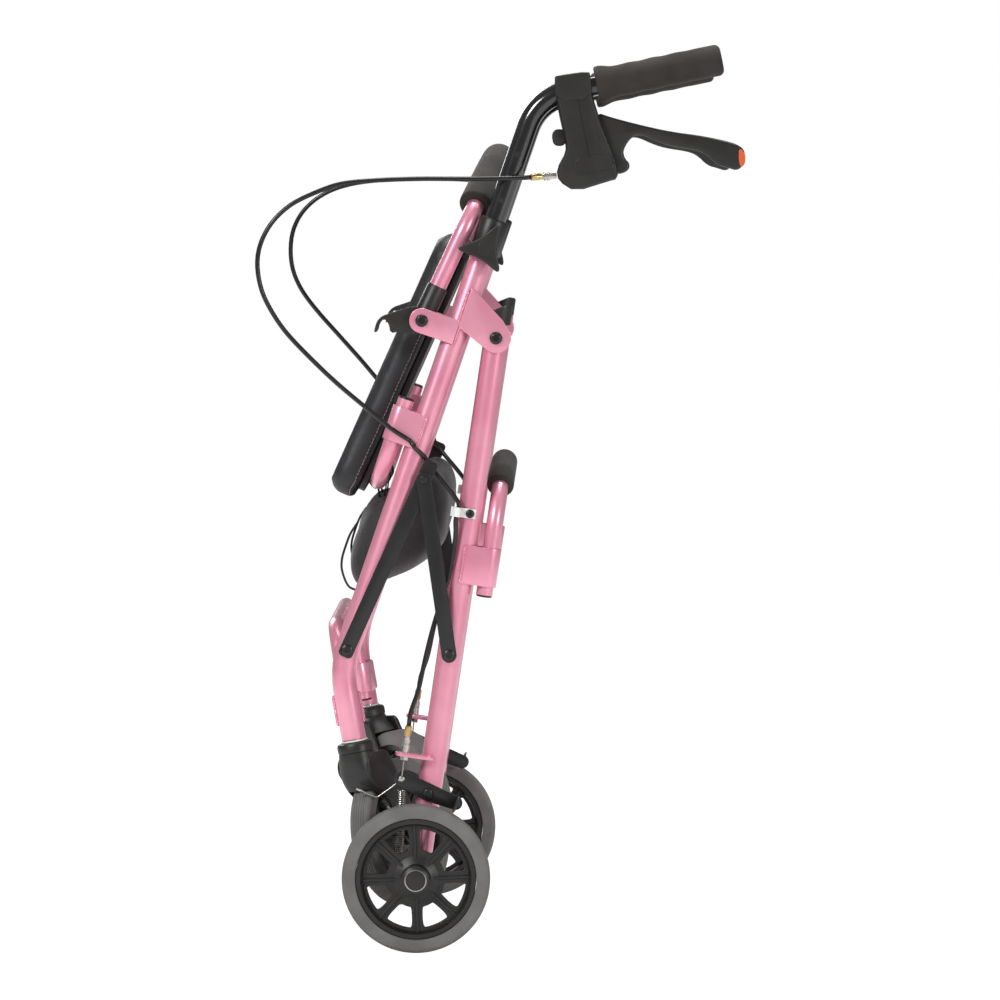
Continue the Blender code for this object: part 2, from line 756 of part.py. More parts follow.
def cable_stop(side):
    """Return the strip that sticks out in front of a rear leg and stops the cable's sheath."""
    matrix = side_matrix(LEG, STOP_UP, side)
    half = STOP_THICKNESS / 2
    width = STOP_WIDTH / 2
    strip = box((0.004, CABLE_OUT - width, -half), (STOP_REACH, CABLE_OUT + width, half), matrix)
    leg_room = rod(matrix @ Vector((0.0, 0.0, -0.02)), matrix @ Vector((0.0, 0.0, 0.02)), TUBE_RADIUS - 0.0007, 24)
    hole = rod(matrix @ Vector((WIRE_N, CABLE_OUT, -0.01)), matrix @ Vector((WIRE_N, CABLE_OUT, 0.01)),
               clear(ADJUSTER_NECK), 12)
    return cut(strip, leg_room, hole)


def arm_point(offset):
    """Return a point given from the rear axle."""
    return (offset[0], WHEEL_RADIUS + offset[1])


def u_bar(end, turn, inset, bend):
    """Return the path of a U-shaped cross bar, whose corners before bending are at "turn"."""
    corners = [place(end, LEFT, -inset), place(turn, LEFT, -inset), place(turn, RIGHT, -inset),
               place(end, RIGHT, -inset)]
    return rounded_path(corners, bend, 4)


def upper_bar_path():
    return u_bar(MAIN.at(UPPER_BAR_END, BAR_STANDOFF), SEAT_PIVOT, 0.0, BAR_BEND)


def lower_bar_path():
    return u_bar(STEM.at(LOWER_BAR_END - STEM_LEG), STEM.at(LOWER_BAR_RISE - STEM_LEG), LOWER_BAR_INSET, BAR_BEND)


def rear_bar_path():
    end = LEG.at(FOLD_PIVOT_UP + REAR_BAR_END, -BAR_STANDOFF)
    turn = LEG.at(FOLD_PIVOT_UP + REAR_BAR_S, -BAR_STANDOFF)
    return u_bar(end, turn, 0.0, REAR_BAR_BEND)


def wrap(base, along, across, length, standoff):
    """Return the sheet that hugs a cross bar's end and is welded to both flanks of its leg."""
    flank = TUBE_RADIUS - 0.0004
    inner = clear(BAR_RADIUS, 12)
    loop = []
    for grow in (0.0, WRAP_SHEET):
        arc = []
        for i in range(7):
            turn = -math.pi / 2 + math.pi * i / 6
            arc.append((standoff + (inner + grow) * math.cos(turn), (inner + grow) * math.sin(turn)))
        line = [(0.0, -flank - grow), *arc, (0.0, flank + grow)]
        loop += line if grow == 0.0 else line[::-1]
    sideways = Vector(along).cross(Vector(across))
    matrix = Matrix.Identity(4)
    matrix.col[0] = (*across, 0.0)
    matrix.col[1] = (*along, 0.0)
    matrix.col[2] = (*(-sideways), 0.0)
    matrix.col[3] = (*(Vector(base) + Vector(along) * length / 2), 1.0)
    return flat(loop, length, matrix)


def build_cross_bars():
    """The three U-shaped bars between the side frames, and the foam on the rear one."""
    rear_pivot = (FOLD_PIVOT[0], 0.0, FOLD_PIVOT[1])
    bars = {
        "upper_cross_bar": (upper_bar_path(), None),
        "lower_cross_bar": (lower_bar_path(), None),
        "rear_cross_bar": (rear_bar_path(), rear_pivot),
    }
    for name, (path, pivot) in bars.items():
        part(name, "pink_paint", tube(path, BAR_RADIUS, BAR_SIDES, BAR_WALL), pivot)
    part("rear_bar_foam", "foam", sleeve(rear_bar_path()[3:-3], REAR_FOAM, BAR_TUBE), rear_pivot)


def tube_bore():
    """Return the radius of the largest plug that a leg's tube takes."""
    return TUBE_RADIUS * math.cos(math.pi / TUBE_SIDES) - FRAME_WALL - GAP


def build_leg_caps():
    """Top caps of the rear legs, cut off slantwise where they stop against the opened front legs."""
    top_at = FOLD_PIVOT_UP + LEG_ABOVE_PIVOT
    stop_gap = MAIN_OFFSET - TUBE_RADIUS - GAP
    normal = math.pi - MAIN_LEAN - FOLD_OPEN
    for side, word in SIDES:
        cap = stepped(
            [(tube_bore(), -0.008, GAP), (TUBE_RADIUS, GAP, LEG_CAP_HEIGHT - LEG_ABOVE_PIVOT)],
            place(LEG.at(top_at), side), LEG.up(), TUBE_SIDES,
        )
        face = Matrix.Translation(place(FOLD_PIVOT, side)) @ Matrix.Rotation(-normal, 4, "Y")
        cap = cut(
            cap,
            box((stop_gap, -0.03, -0.06), (stop_gap + 0.06, 0.03, 0.06), face),
            hole_through(FOLD_PIVOT, side, PIVOT_BOLT / 2),
        )
        part(f"{word}_leg_cap", "black_plastic", cap, place(FOLD_PIVOT, side))


def build_fold_bolts():
    reach = PLATE_OUT + PLATE + GAP
    for side, word in SIDES:
        body = bolt(FOLD_PIVOT, side, -reach, reach, PIVOT_BOLT)
        part(f"{word}_fold_bolt", "black_steel", body, place(FOLD_PIVOT, side))


def build_height_clamps():
    """Collars on top of the front legs, each with a boss for its three-lobed knob."""
    for side, word in SIDES:
        centre = place(MAIN.at(0.0), side)
        step = MAIN_TOP + GAP
        sleeve_body = stepped([(COLLAR_DIAMETER / 2, COLLAR_LOW, MAIN_TOP + COLLAR_LIP)], centre, MAIN.up(), 20)
        knob_foot = place(MAIN.at(KNOB_S), side)
        boss = rod(knob_foot, knob_foot + outward(side) * BOSS_OUT, BOSS_RADIUS, 16)
        big = stepped([(clear(TUBE_RADIUS, 20), COLLAR_LOW - 0.01, step)], centre, MAIN.up(), 20)
        small = stepped([(clear(HANDLE_TUBE / 2, 20), 0.0, MAIN_TOP + 0.03)], centre, MAIN.up(), 20)
        stud = hole_through(MAIN.at(KNOB_S), side, KNOB_STUD / 2, 0.0)
        part(f"{word}_clamp_collar", "black_plastic", cut(union(sleeve_body, boss), big, small, stud))
        build_knob(side, word, knob_foot)


def build_knob(side, word, foot):
    """A three-lobed knob: the edge swings in and out three times, and a threaded stud runs inwards."""
    outline = []
    for i in range(48):
        turn = 2 * math.pi * i / 48
        lobe = ((1 + math.cos(3 * turn - math.pi)) / 2) ** 1.6
        reach = KNOB_WAIST + (KNOB_TIP - KNOB_WAIST) * lobe
        outline.append((foot.x + reach * math.cos(turn), foot.z + reach * math.sin(turn)))
    body = plate(outline, side, BOSS_OUT + GAP, KNOB_THICKNESS)
    stud_end = HANDLE_TUBE / 2 + 2 * GAP
    stud = rod(foot + outward(side) * stud_end, foot + outward(side) * (BOSS_OUT + KNOB_THICKNESS / 2),
               KNOB_STUD / 2, 12)
    part(f"{word}_height_knob", "black_plastic", union(body, stud), foot)


def handle_path(side):
    """Return the axis of a handle tube, from inside the front leg to the end of the grip."""
    knee = MAIN.at(HANDLE_KNEE)
    end = handle_point(GRIP_END - GRIP_CAP - GAP)
    corners = [place(MAIN.at(MAIN_TOP - HANDLE_INSIDE), side), place(knee, side), place(end, side)]
    return rounded_path(corners, HANDLE_BEND, 5)


def handle_point(g, up=0.0):
    """Return (x, z) of a point g along the grip's axis from the knee, and up from it."""
    knee = MAIN.at(HANDLE_KNEE)
    x = knee[0] + g * math.cos(HANDLE_RISE) - up * math.sin(HANDLE_RISE)
    z = knee[1] + g * math.sin(HANDLE_RISE) + up * math.cos(HANDLE_RISE)
    return (x, z)


def build_handles():
    """Handle tubes and foam grips."""
    along = Vector((math.cos(HANDLE_RISE), 0.0, math.sin(HANDLE_RISE)))
    for side, word in SIDES:
        pivot = place(MAIN.at(MAIN_TOP), side)
        handle = tube(handle_path(side), HANDLE_TUBE / 2, TUBE_SIDES, HANDLE_WALL)
        part(f"{word}_handle_tube", "black_enamel", handle, pivot)
        length = GRIP_END - GRIP_START
        foot = place(handle_point(GRIP_START), side)
        body = stepped(
            [
                (GRIP_FLARE / 2, 0.0, GRIP_FLARE_LENGTH),
                (GRIP_DIAMETER / 2, GRIP_FLARE_LENGTH, length),
            ],
            foot, along, 20,
        )
        bore = stepped([(clear(HANDLE_TUBE / 2, 20), -0.01, length - GRIP_CAP)], foot, along, 20)
        part(f"{word}_grip", "foam", cut(body, bore), pivot)


def knee_point(offset):
    """Return a point given from the handle's knee, level and upright."""
    knee = MAIN.at(HANDLE_KNEE)
    return (knee[0] + offset[0], knee[1] + offset[1])


def build_brakes():
    """Brake housings clamped on the handle tubes, with the levers that turn in their slots."""
    for side, word in SIDES:
        pivot = place(knee_point(LEVER_PIVOT), side)
        body = plate([knee_point(p) for p in HOUSING_OUTLINE], side, -HOUSING_WIDTH / 2, HOUSING_WIDTH)
        body = cut(body, tube(handle_path(side), HANDLE_TUBE / 2 + GAP, TUBE_SIDES))
        slot_low = knee_point(SLOT_LOW)
        slot_high = knee_point(SLOT_HIGH)
        half = LEVER_WIDTH / 2 + GAP
        y = side * HALF_SPACING
        body = cut(body, box((slot_low[0], y - half, slot_low[1]), (slot_high[0], y + half, slot_high[1])))
        pin = rod(pivot - outward(1) * (half + 0.004), pivot + outward(1) * (half + 0.004), LEVER_PIN / 2, 12)
        low = knee_point(LATCH_LOW)
        high = knee_point(LATCH_HIGH)
        latch = box((low[0], y - LATCH_HALF, low[1]), (high[0], y + LATCH_HALF, high[1]))
        adjuster = stepped(
            [(0.0030, 0.0, 0.0135), (0.0042, 0.0135, 0.0190), (0.0030, 0.0190, 0.0340)],
            place(knee_point(HOUSING_CABLE_END), side, HOUSING_CABLE_OUT), cable_exit(side), 12,
        )
        body = union(body, pin, latch, adjuster)
        part(f"{word}_brake_housing", "black_plastic", body, place(MAIN.at(MAIN_TOP), side))
        hole = circle(knee_point(LEVER_PIVOT), clear(LEVER_PIN / 2), 12)
        lever = plate([knee_point(p) for p in LEVER_OUTLINE], side, -LEVER_WIDTH / 2, LEVER_WIDTH, [hole])
        part(f"{word}_brake_lever", "black_plastic", lever, pivot)


def cable_exit(side):
    """Return the direction from the cable's end into the housing."""
    return Vector((0.978, -0.2 * side, 0.06)).normalized()


def turned_ring(profile, matrix, segments=WHEEL_SEGMENTS):
    """Return a ring or disc turned about the local Y axis of a matrix."""
    body = turned(profile, (0.0, 0.0, 0.0), (0.0, 1.0, 0.0), segments)
    body.data.transform(matrix)
    return body


def tyre(matrix):
    """Return a solid tyre with bevelled shoulders."""
    outer = WHEEL_RADIUS
    inner = RIM_DIAMETER / 2 + GAP
    half = TYRE_WIDTH / 2
    shoulder = TYRE_SHOULDER
    profile = [
        (inner, half), (outer - shoulder, half), (outer, half - shoulder), (outer, shoulder - half),
        (outer - shoulder, -half), (inner, -half), (inner, half),
    ]
    return turned_ring(profile, matrix)


def window(index):
    """Return one opening of the rim: what two neighbouring spokes, the hub and the ring leave free."""
    middle = 2 * math.pi * (index + 0.5) / SPOKES + SPOKE_TURN
    outer = RIM_DIAMETER / 2 - RIM_DEPTH - 0.004
    outline = []
    for radius, count in ((WINDOW_INNER, 2), (outer, 3)):
        spread = math.pi / SPOKES - math.asin(SPOKE_WIDTH / 2 / radius)
        turns = [middle - spread + 2 * spread * i / (count - 1) for i in range(count)]
        arc = [(radius * math.cos(t), radius * math.sin(t)) for t in turns]
        outline += arc if count == 2 else arc[::-1]
    return outline


def rim(matrix, hub_width):
    """A moulded wheel centre: outer ring, web with windows between the spokes, and hub with its bore."""
    outer = RIM_DIAMETER / 2
    inner = outer - RIM_DEPTH
    half = RIM_WIDTH / 2
    upright = Matrix.Identity(4)
    ring = turned_ring([(inner, half), (outer, half), (outer, -half), (inner, -half), (inner, half)], upright)
    web = flat(circle((0.0, 0.0), inner + 0.002, WHEEL_SEGMENTS), WEB, None, [window(i) for i in range(SPOKES)])
    radius = HUB_DIAMETER / 2
    hub = turned_ring([(0.0, hub_width / 2), (radius, hub_width / 2), (radius, -hub_width / 2), (0.0, -hub_width / 2)],
                      upright, 16)
    bore = rod((0.0, -hub_width, 0.0), (0.0, hub_width, 0.0), clear(AXLE_DIAMETER / 2, 16), 16)
    return moved(cut(union(ring, web, hub), bore), matrix)


def build_rear_wheels():
    """Rear wheels, their hub caps, and the axles that carry them on the rear legs."""
    hub_in = REAR_WHEEL_OUT - REAR_HUB_WIDTH / 2
    hub_out = REAR_WHEEL_OUT + REAR_HUB_WIDTH / 2
    for side, word in SIDES:
        centre = place(LEG.at(0.0), side)
        pivot = place(LEG.at(0.0), side, REAR_WHEEL_OUT)
        matrix = Matrix.Translation(pivot)
        part(f"{word}_rear_tyre", "grey_tyre", tyre(matrix), pivot)
        part(f"{word}_rear_rim", "black_plastic", rim(matrix, REAR_HUB_WIDTH), pivot)
        axle = stepped(
            [
                (0.0065, -PLATE_OUT - 0.005, -PLATE_OUT),
                (AXLE_DIAMETER / 2, -PLATE_OUT, PLATE_OUT + PLATE - 0.0005),
                (0.0070, PLATE_OUT + PLATE - 0.0005, hub_in - GAP),
                (AXLE_DIAMETER / 2, hub_in - GAP, hub_out + GAP),
                (0.0065, hub_out + GAP, hub_out + AXLE_HEAD),
            ],
            centre, outward(side), 16,
        )
        part(f"{word}_rear_axle", "zinc", union(axle, *brake_spring(side)), centre)
        radius = HUB_CAP_DIAMETER / 2
        profile = [
            (0.0, HUB_CAP_HEIGHT), (radius - 0.002, HUB_CAP_HEIGHT), (radius, HUB_CAP_HEIGHT - 0.002),
            (radius, GAP), (0.0080, GAP), (0.0080, AXLE_HEAD + GAP), (0.0, AXLE_HEAD + GAP),
        ]
        cap = turned(profile, place(LEG.at(0.0), side, hub_out), outward(side), 24)
        part(f"{word}_hub_cap", "black_plastic", cap, pivot)


def brake_spring(side):
    """Return the spring that pulls the brake arm's front end down, and the plate on the axle that holds it."""
    top = place(arm_point(ARM_FRONT), side, CABLE_OUT) - Vector((0.0, 0.0, ARM_WIDTH / 2 + SPRING_DROP))
    end = top - Vector((0.0020, 0.0, SPRING_LENGTH))
    outer = SPRING_DIAMETER / 2
    length = (top - end).length
    inner = outer - SPRING_WIRE
    coil = turned([(inner, 0.0), (inner, length), (outer, length), (outer, 0.0), (inner, 0.0)], end, top - end, 12)
    anchor = hull(
        circle(LEG.at(0.0), 0.0095, 16),
        circle((end.x, end.z - ANCHOR_RADIUS + 0.002), ANCHOR_RADIUS, 16),
    )
    return [coil, plate(anchor, side, PLATE_OUT, PLATE)]


def caster_matrix(side):
    """Return the frame of one caster: origin at the leg's end, X along the trail, Z up the stem."""
    up = STEM.up()
    rear = -STEM.front()
    trail = math.cos(CASTER_SWIVEL) * rear - math.sin(CASTER_SWIVEL) * outward(side)
    matrix = Matrix.Identity(4)
    matrix.col[0] = (*trail, 0.0)
    matrix.col[1] = (*up.cross(trail), 0.0)
    matrix.col[2] = (*up, 0.0)
    matrix.col[3] = (*place(STEM.at(-STEM_LEG), side), 1.0)
    return matrix


def moved(body, matrix):
    body.data.transform(matrix)
    return body


def build_casters():
    """Swivelling casters: stems in the front legs, forks with their axles, wheels."""
    for side, word in SIDES:
        matrix = caster_matrix(side)
        swivel = place(STEM.at(-STEM_LEG), side)
        stem = stepped(
            [
                (STEM_DIAMETER / 2, -STEM_DEPTH, -WASHER - GAP),
                (TUBE_RADIUS, -WASHER - GAP, -GAP),
                (tube_bore(), -GAP, STEM_PLUG),
            ],
            swivel, STEM.up(), TUBE_SIDES,
        )
        part(f"{word}_caster_stem", "zinc", stem, swivel)
        centre = matrix @ Matrix.Translation((CASTER_TRAIL, 0.0, -CASTER_DROP))
        part(f"{word}_caster_tyre", "grey_tyre", tyre(centre), centre.translation)
        part(f"{word}_caster_rim", "black_plastic", rim(centre, CASTER_HUB_WIDTH), centre.translation)
        part(f"{word}_caster_fork", "black_plastic", moved(caster_fork(), matrix), swivel)


def caster_fork():
    """Return a fork with its axle, in the caster's own frame."""
    top = -WASHER - 2 * GAP
    radius = CROWN_DIAMETER / 2
    neck = radius - CROWN_GROOVE
    crown = turned(
        [
            (0.0, top), (radius - 0.002, top), (radius, top - 0.002), (radius, top - CROWN_CAP),
            (neck, top - CROWN_CAP), (neck, top - CROWN_CAP - CROWN_GROOVE),
            (radius, top - CROWN_CAP - CROWN_GROOVE), (radius - 0.001, -CROWN_HEIGHT), (0.0, -CROWN_HEIGHT),
        ],
        (0.0, 0.0, 0.0), (0.0, 0.0, 1.0), 16,
    )
    inner = TYRE_WIDTH / 2 + FORK_CLEARANCE
    outer = inner + FORK_BLADE
    bridge = box((-0.014, -outer + 0.0003, -0.030), (0.030, outer - 0.0003, -0.0155))
    outline = hull(
        circle((0.003, -0.0300), 0.0140, 16),
        circle((0.020, -0.0270), 0.0110, 16),
        circle((CASTER_TRAIL, -CASTER_DROP), 0.0125, 16),
    )
    blades = []
    for sign in (-1, 1):
        middle = Matrix.Translation((0.0, sign * (inner + outer) / 2, 0.0))
        blades.append(flat(outline, FORK_BLADE, middle))
    wheel = Vector((CASTER_TRAIL, 0.0, -CASTER_DROP))
    half = Vector((0.0, inner, 0.0))
    wheel_room = rod(wheel - half, wheel + half, WHEEL_RADIUS + 0.003, 32)
    room = clear(STEM_DIAMETER / 2, TUBE_SIDES)
    stem_bore = rod((0.0, 0.0, -STEM_DEPTH - 0.002), (0.0, 0.0, 0.01), room, TUBE_SIDES)
    fork = cut(union(crown, bridge, *blades), wheel_room, stem_bore)
    head = 0.0035
    axle = stepped(
        [(0.0062, -outer - head, -outer + 0.0005), (AXLE_DIAMETER / 2, -outer + 0.0005, outer - 0.0005),
         (0.0062, outer - 0.0005, outer + head)],
        wheel, (0.0, 1.0, 0.0), 16,
    )
    return union(fork, axle)


def build_rear_brakes():
    """Brake arms on the rear legs, and the adjusters and clips that guide the cables to them."""
    half = STOP_THICKNESS / 2
    for side, word in SIDES:
        pivot = place(arm_point(ARM_PIVOT), side, PLATE_OUT)
        part(f"{word}_brake_arm", "black_steel", brake_arm(side), pivot)
        matrix = side_matrix(LEG, STOP_UP, side)
        adjuster = stepped(
            [
                (ADJUSTER_NUT, -half - GAP - 0.004, -half - GAP),
                (ADJUSTER_NECK, -half - GAP, half + GAP),
                (ADJUSTER_BARREL, half + GAP, half + BARREL_HEIGHT),
                (ADJUSTER_NECK, half + BARREL_HEIGHT, half + ADJUSTER_HEIGHT),
            ],
            matrix @ Vector((WIRE_N, CABLE_OUT, 0.0)), LEG.up(), 12,
        )
        part(f"{word}_cable_adjuster", "zinc", adjuster, place(FOLD_PIVOT, side))
        part(f"{word}_cable_clip", "white_nylon", cable_clip(side), place(FOLD_PIVOT, side))


def brake_arm(side):
    """Return the plate that the cable lifts in front, with the shoe that it presses on the tyre behind."""
    outline = hull(
        circle(arm_point(ARM_FRONT), ARM_WIDTH / 2, 16),
        circle(arm_point(ARM_PIVOT), ARM_WIDTH / 2, 16),
        circle(arm_point(ARM_BACK), ARM_WIDTH / 2 - 0.001, 12),
    )
    hole = circle(arm_point(ARM_PIVOT), clear(ARM_BOLT / 2), 12)
    body = plate(outline, side, PLATE_OUT, PLATE, [hole])
    foot = arm_point(ARM_TAB_FOOT)
    top = arm_point(ARM_TAB_TOP)
    tilt = math.atan2(top[0] - foot[0], top[1] - foot[1])
    matrix = Matrix.Translation((foot[0], 0.0, foot[1])) @ Matrix.Rotation(tilt, 4, "Y")
    near = side * (HALF_SPACING + PLATE_OUT + 0.0005)
    far = side * (HALF_SPACING + REAR_WHEEL_OUT + TYRE_WIDTH / 2 - 0.002)
    return union(body, box((0.0, near, 0.0), (PLATE, far, math.dist(foot, top)), matrix))


def cable_clip(side):
    """Return the nylon clip that holds a cable beside the rear leg."""
    matrix = side_matrix(LEG, CLIP_UP, side)
    half = CLIP_HEIGHT / 2
    n, out = CLIP_EYE
    tab = box((-0.0060, PLATE_OUT, -half), (0.0200, PLATE_OUT + CLIP_TAB, half), matrix)
    cable_room = clear(CABLE_DIAMETER / 2)
    eye = rod(matrix @ Vector((n, out, -half)), matrix @ Vector((n, out, half)), cable_room + CLIP_WALL, 16)
    cable = rod(matrix @ Vector((n, out, -0.02)), matrix @ Vector((n, out, 0.02)), cable_room, 12)
    return cut(union(tab, eye), cable, hole_through(LEG.at(CLIP_UP), side, CLIP_SCREW / 2))


def bar_strip(start, end, half_width, round_start, round_end):
    """Return the outline of a flat bar between two points, each end round or square."""
    a = Vector((start[0], start[1]))
    b = Vector((end[0], end[1]))
    along = (b - a).normalized()
    across = Vector((-along.y, along.x)) * half_width
    loops = []
    for point, is_round in ((a, round_start), (b, round_end)):
        if is_round:
            loops.append(circle(point, half_width, 16))
        else:
            loops.append([tuple(point + across), tuple(point - across)])
    return hull(*loops)


def build_braces():
    """Two folding bars on the outside of each side frame, which meet at a rivet."""
    half = BRACE_WIDTH / 2
    hole_size = clear(BRACE_SCREW / 2)
    foot = MAIN.at(FRONT_BRACE_SCREW)
    rear_foot = LEG.at(BRACE_SCREW_UP)
    meet = BRACE_MEET_POINT
    along = (Vector(meet) - Vector(foot)).normalized()
    low = Vector(foot) - along * (half + 0.0005)
    high = Vector(meet) + along * FRONT_BRACE_TOP
    out = PLATE_OUT + PLATE + GAP
    for side, word in SIDES:
        front = plate(bar_strip(low, high, half, False, False), side, PLATE_OUT, PLATE, [circle(foot, hole_size, 12)])
        part(f"{word}_front_brace", "black_steel", front, place(foot, side))
        hole = circle(rear_foot, hole_size, 12)
        rear = plate(bar_strip(rear_foot, meet, half, True, True), side, out, PLATE, [hole])
        rivet = rod(place(meet, side, out + PLATE / 2), place(meet, side, out + PLATE + RIVET_HEAD), RIVET / 2, 12)
        part(f"{word}_rear_brace", "black_steel", union(rear, rivet), place(rear_foot, side))


def backrest_path():
    """Return the axis of the backrest tube: up from each socket, a tight corner, then a shallow bow."""
    half = HALF_SPACING
    low = BACKREST_RISE - BACKREST_BOW
    chord = half - 0.025
    radius = (chord**2 + BACKREST_BOW**2) / (2 * BACKREST_BOW)
    turn = math.pi / 2 - math.asin(chord / radius)
    corner = BACKREST_CORNER
    points = [(-half, BACKREST_TUBE_START)]
    start_height = low - corner * math.sin(turn)
    inset = corner * (1 - math.cos(turn))
    steps = 4
    for i in range(steps + 1):
        t = turn * i / steps
        points.append((-half + corner * (1 - math.cos(t)), start_height + corner * math.sin(t)))
    bow = 8
    spread = math.asin((half - inset) / radius)
    for i in range(1, bow):
        t = -spread + 2 * spread * i / bow
        points.append((radius * math.sin(t), low + radius * (math.cos(t) - math.cos(spread))))
    whole = points + [(-y, h) for y, h in points[: steps + 2][::-1]]
    return [Vector((BACKREST.at(h)[0], y, BACKREST.at(h)[1])) for y, h in whole]


def build_backrest():
    """The padded backrest hoop and the sockets that turn on the front legs."""
    path = backrest_path()
    pivot = (BACKREST_PIVOT[0], 0.0, BACKREST_PIVOT[1])
    part("backrest_tube", "pink_paint", tube(path, BACKREST_TUBE / 2, BAR_SIDES, BACKREST_WALL), pivot)
    part("backrest_foam", "foam", sleeve(path[5:-5], BACKREST_FOAM, BACKREST_TUBE), pivot)
    for side, word in SIDES:
        part(f"{word}_backrest_socket", "black_plastic", backrest_socket(side), place(BACKREST_PIVOT, side))


def sleeve(path, outer, inner):
    """Return a foam sleeve around a tube."""
    wall = outer / 2 * math.cos(math.pi / FOAM_SIDES) - inner / 2 - FOAM_BORE_GAP
    return tube(path, outer / 2, FOAM_SIDES, wall)


def backrest_socket(side):
    """Return a socket: a sleeve for the hoop's end, an eye for its bolt, and a hook arm in front."""
    up = BACKREST.up()
    base = place(BACKREST_PIVOT, side)
    body = rod(base, base + up * SOCKET_TOP, SOCKET_DIAMETER / 2, 16)
    half = outward(side) * SOCKET_WIDTH / 2
    eye = rod(base - half, base + half, SOCKET_EYE, 16)
    outline = [(BACKREST_PIVOT[0] + x, BACKREST_PIVOT[1] + z) for x, z in HOOK_OUTLINE]
    hook = plate(outline, side, -HOOK_WIDTH / 2, HOOK_WIDTH)
    bore = rod(base + up * (BACKREST_TUBE_START - GAP), base + up * (SOCKET_TOP + 0.01),
               clear(BACKREST_TUBE / 2, 16), 16)
    return cut(union(body, eye, hook), bore, hole_through(BACKREST_PIVOT, side, PIVOT_BOLT / 2))


def build_seat():
    """The hinged seat: padded top, board under it, and saddles that turn on the upper cross bar."""
    pivot = (SEAT_PIVOT[0], 0.0, SEAT_PIVOT[1])
    pad_n = BOARD_STANDOFF + BOARD_THICKNESS + GAP
    low = -SEAT_OVERHANG
    high = low + SEAT_LENGTH
    corner = SEAT_CORNER
    spots = [(s, n) for s in (low + corner, high - corner) for n in (pad_n + corner, pad_n + SEAT_THICKNESS - corner)]
    outline = hull(*(circle(SEAT.at(s, n), corner, 12) for s, n in spots))
    part("seat_pad", "vinyl", flat(outline, SEAT_WIDTH), pivot)
    base = Matrix.Identity(4)
    base.col[0] = (*SEAT.front(), 0.0)
    base.col[1] = (0.0, -1.0, 0.0, 0.0)
    base.col[2] = (*SEAT.up(), 0.0)
    base.col[3] = (SEAT_PIVOT[0], 0.0, SEAT_PIVOT[1], 1.0)
    width = SEAT_WIDTH / 2 - BOARD_MARGIN
    board = box(
        (BOARD_STANDOFF, -width, low + BOARD_MARGIN),
        (BOARD_STANDOFF + BOARD_THICKNESS, width, high - BOARD_MARGIN),
        base,
    )
    saddles = []
    rooms = []
    room = clear(BAR_RADIUS, 20)
    for y in (-SADDLE_OUT, SADDLE_OUT):
        half = Vector((0.0, SADDLE_WIDTH / 2, 0.0))
        centre = Vector((SEAT_PIVOT[0], y, SEAT_PIVOT[1]))
        saddles.append(rod(centre - half, centre + half, room + SADDLE_WALL, 20))
        rooms.append(rod(centre - 2 * half, centre + 2 * half, room, 20))
        mouth = BAR_RADIUS - 0.001
        rooms.append(box((-0.02, y - SADDLE_WIDTH, -mouth), (0.0, y + SADDLE_WIDTH, mouth), base))
    part("seat_board", "black_plastic", cut(union(board, *saddles), *rooms), pivot)


def build_bag():
    """The shopping bag under the seat, with the slings by which it hangs at the upper cross bar."""
    outline = [(SEAT_PIVOT[0] + x, SEAT_PIVOT[1] + z) for x, z in BAG_OUTLINE]
    loops = []
    rooms = []
    room = clear(BAR_RADIUS, 16)
    for y in (-BAG_LOOP_OUT, BAG_LOOP_OUT):
        centre = Vector((SEAT_PIVOT[0], y, SEAT_PIVOT[1]))
        half = Vector((0.0, BAG_LOOP_WIDTH / 2, 0.0))
        loops.append(rod(centre - half, centre + half, room + BAG_CLOTH, 16))
        rooms.append(rod(centre - 2 * half, centre + 2 * half, room, 16))
        move = Matrix.Translation(centre)
        loops.append(box((-0.003, -BAG_LOOP_WIDTH / 2, -0.030), (0.003, BAG_LOOP_WIDTH / 2, -BAR_RADIUS), move))
        rooms.append(box((-0.02, -BAG_LOOP_WIDTH, -BAG_LOOP_DROP), (0.02, BAG_LOOP_WIDTH, 0.02), move))
    part("seat_bag", "bag_cloth", cut(union(flat(outline, BAG_WIDTH), *loops), *rooms))


def smooth_path(points, longest):
    """Return a smooth curve's points through all the route's own points, with its long spans divided."""
    points = [Vector(p) for p in points]
    padded = [2 * points[0] - points[1], *points, 2 * points[-1] - points[-2]]
    path = []
    for a, b, c, d in zip(padded, padded[1:], padded[2:], padded[3:]):
        count = max(1, round((c - b).length / longest))
        for i in range(count):
            t = i / count
            path.append(0.5 * (2 * b + (c - a) * t + (2 * a - 5 * b + 4 * c - d) * t**2
                               + (3 * b - a - 3 * c + d) * t**3))
    path.append(points[-1])
    return path


def cable_points(side):
    """Return the points of one brake cable, from the housing's adjuster to the one on the rear leg."""
    start = place(knee_point(HOUSING_CABLE_END), side, HOUSING_CABLE_OUT) - cable_exit(side) * GAP
    points = [start, start - cable_exit(side) * 0.012]
    for x, out, z in CABLE_LOOPS[side]:
        points.append(place((x, z), side, out))
    for s, n, out in CABLE_ROUND_LEG:
        points.append(place(MAIN.at(s, n), side, out))
    for s in (0.010, 0.0, -0.010):
        points.append(place(LEG.at(CLIP_UP + s, CLIP_EYE[0]), side, CLIP_EYE[1]))
    for x, out, z in CABLE_BELOW_CLIP:
        points.append(place((x, z), side, out))
    top = STOP_UP + STOP_THICKNESS / 2 + ADJUSTER_HEIGHT + GAP
    for s in (0.014, 0.0):
        points.append(place(LEG.at(top + s, WIRE_N), side, CABLE_OUT))
    return points


def build_cables():
    """The two brake cables, held at the housing, the clip and the adjuster on the rear leg."""
    for side, word in SIDES:
        path = smooth_path(cable_points(side), CABLE_SPAN)
        part(f"{word}_brake_cable", "cable_black", tube(path, CABLE_DIAMETER / 2, CABLE_SIDES))


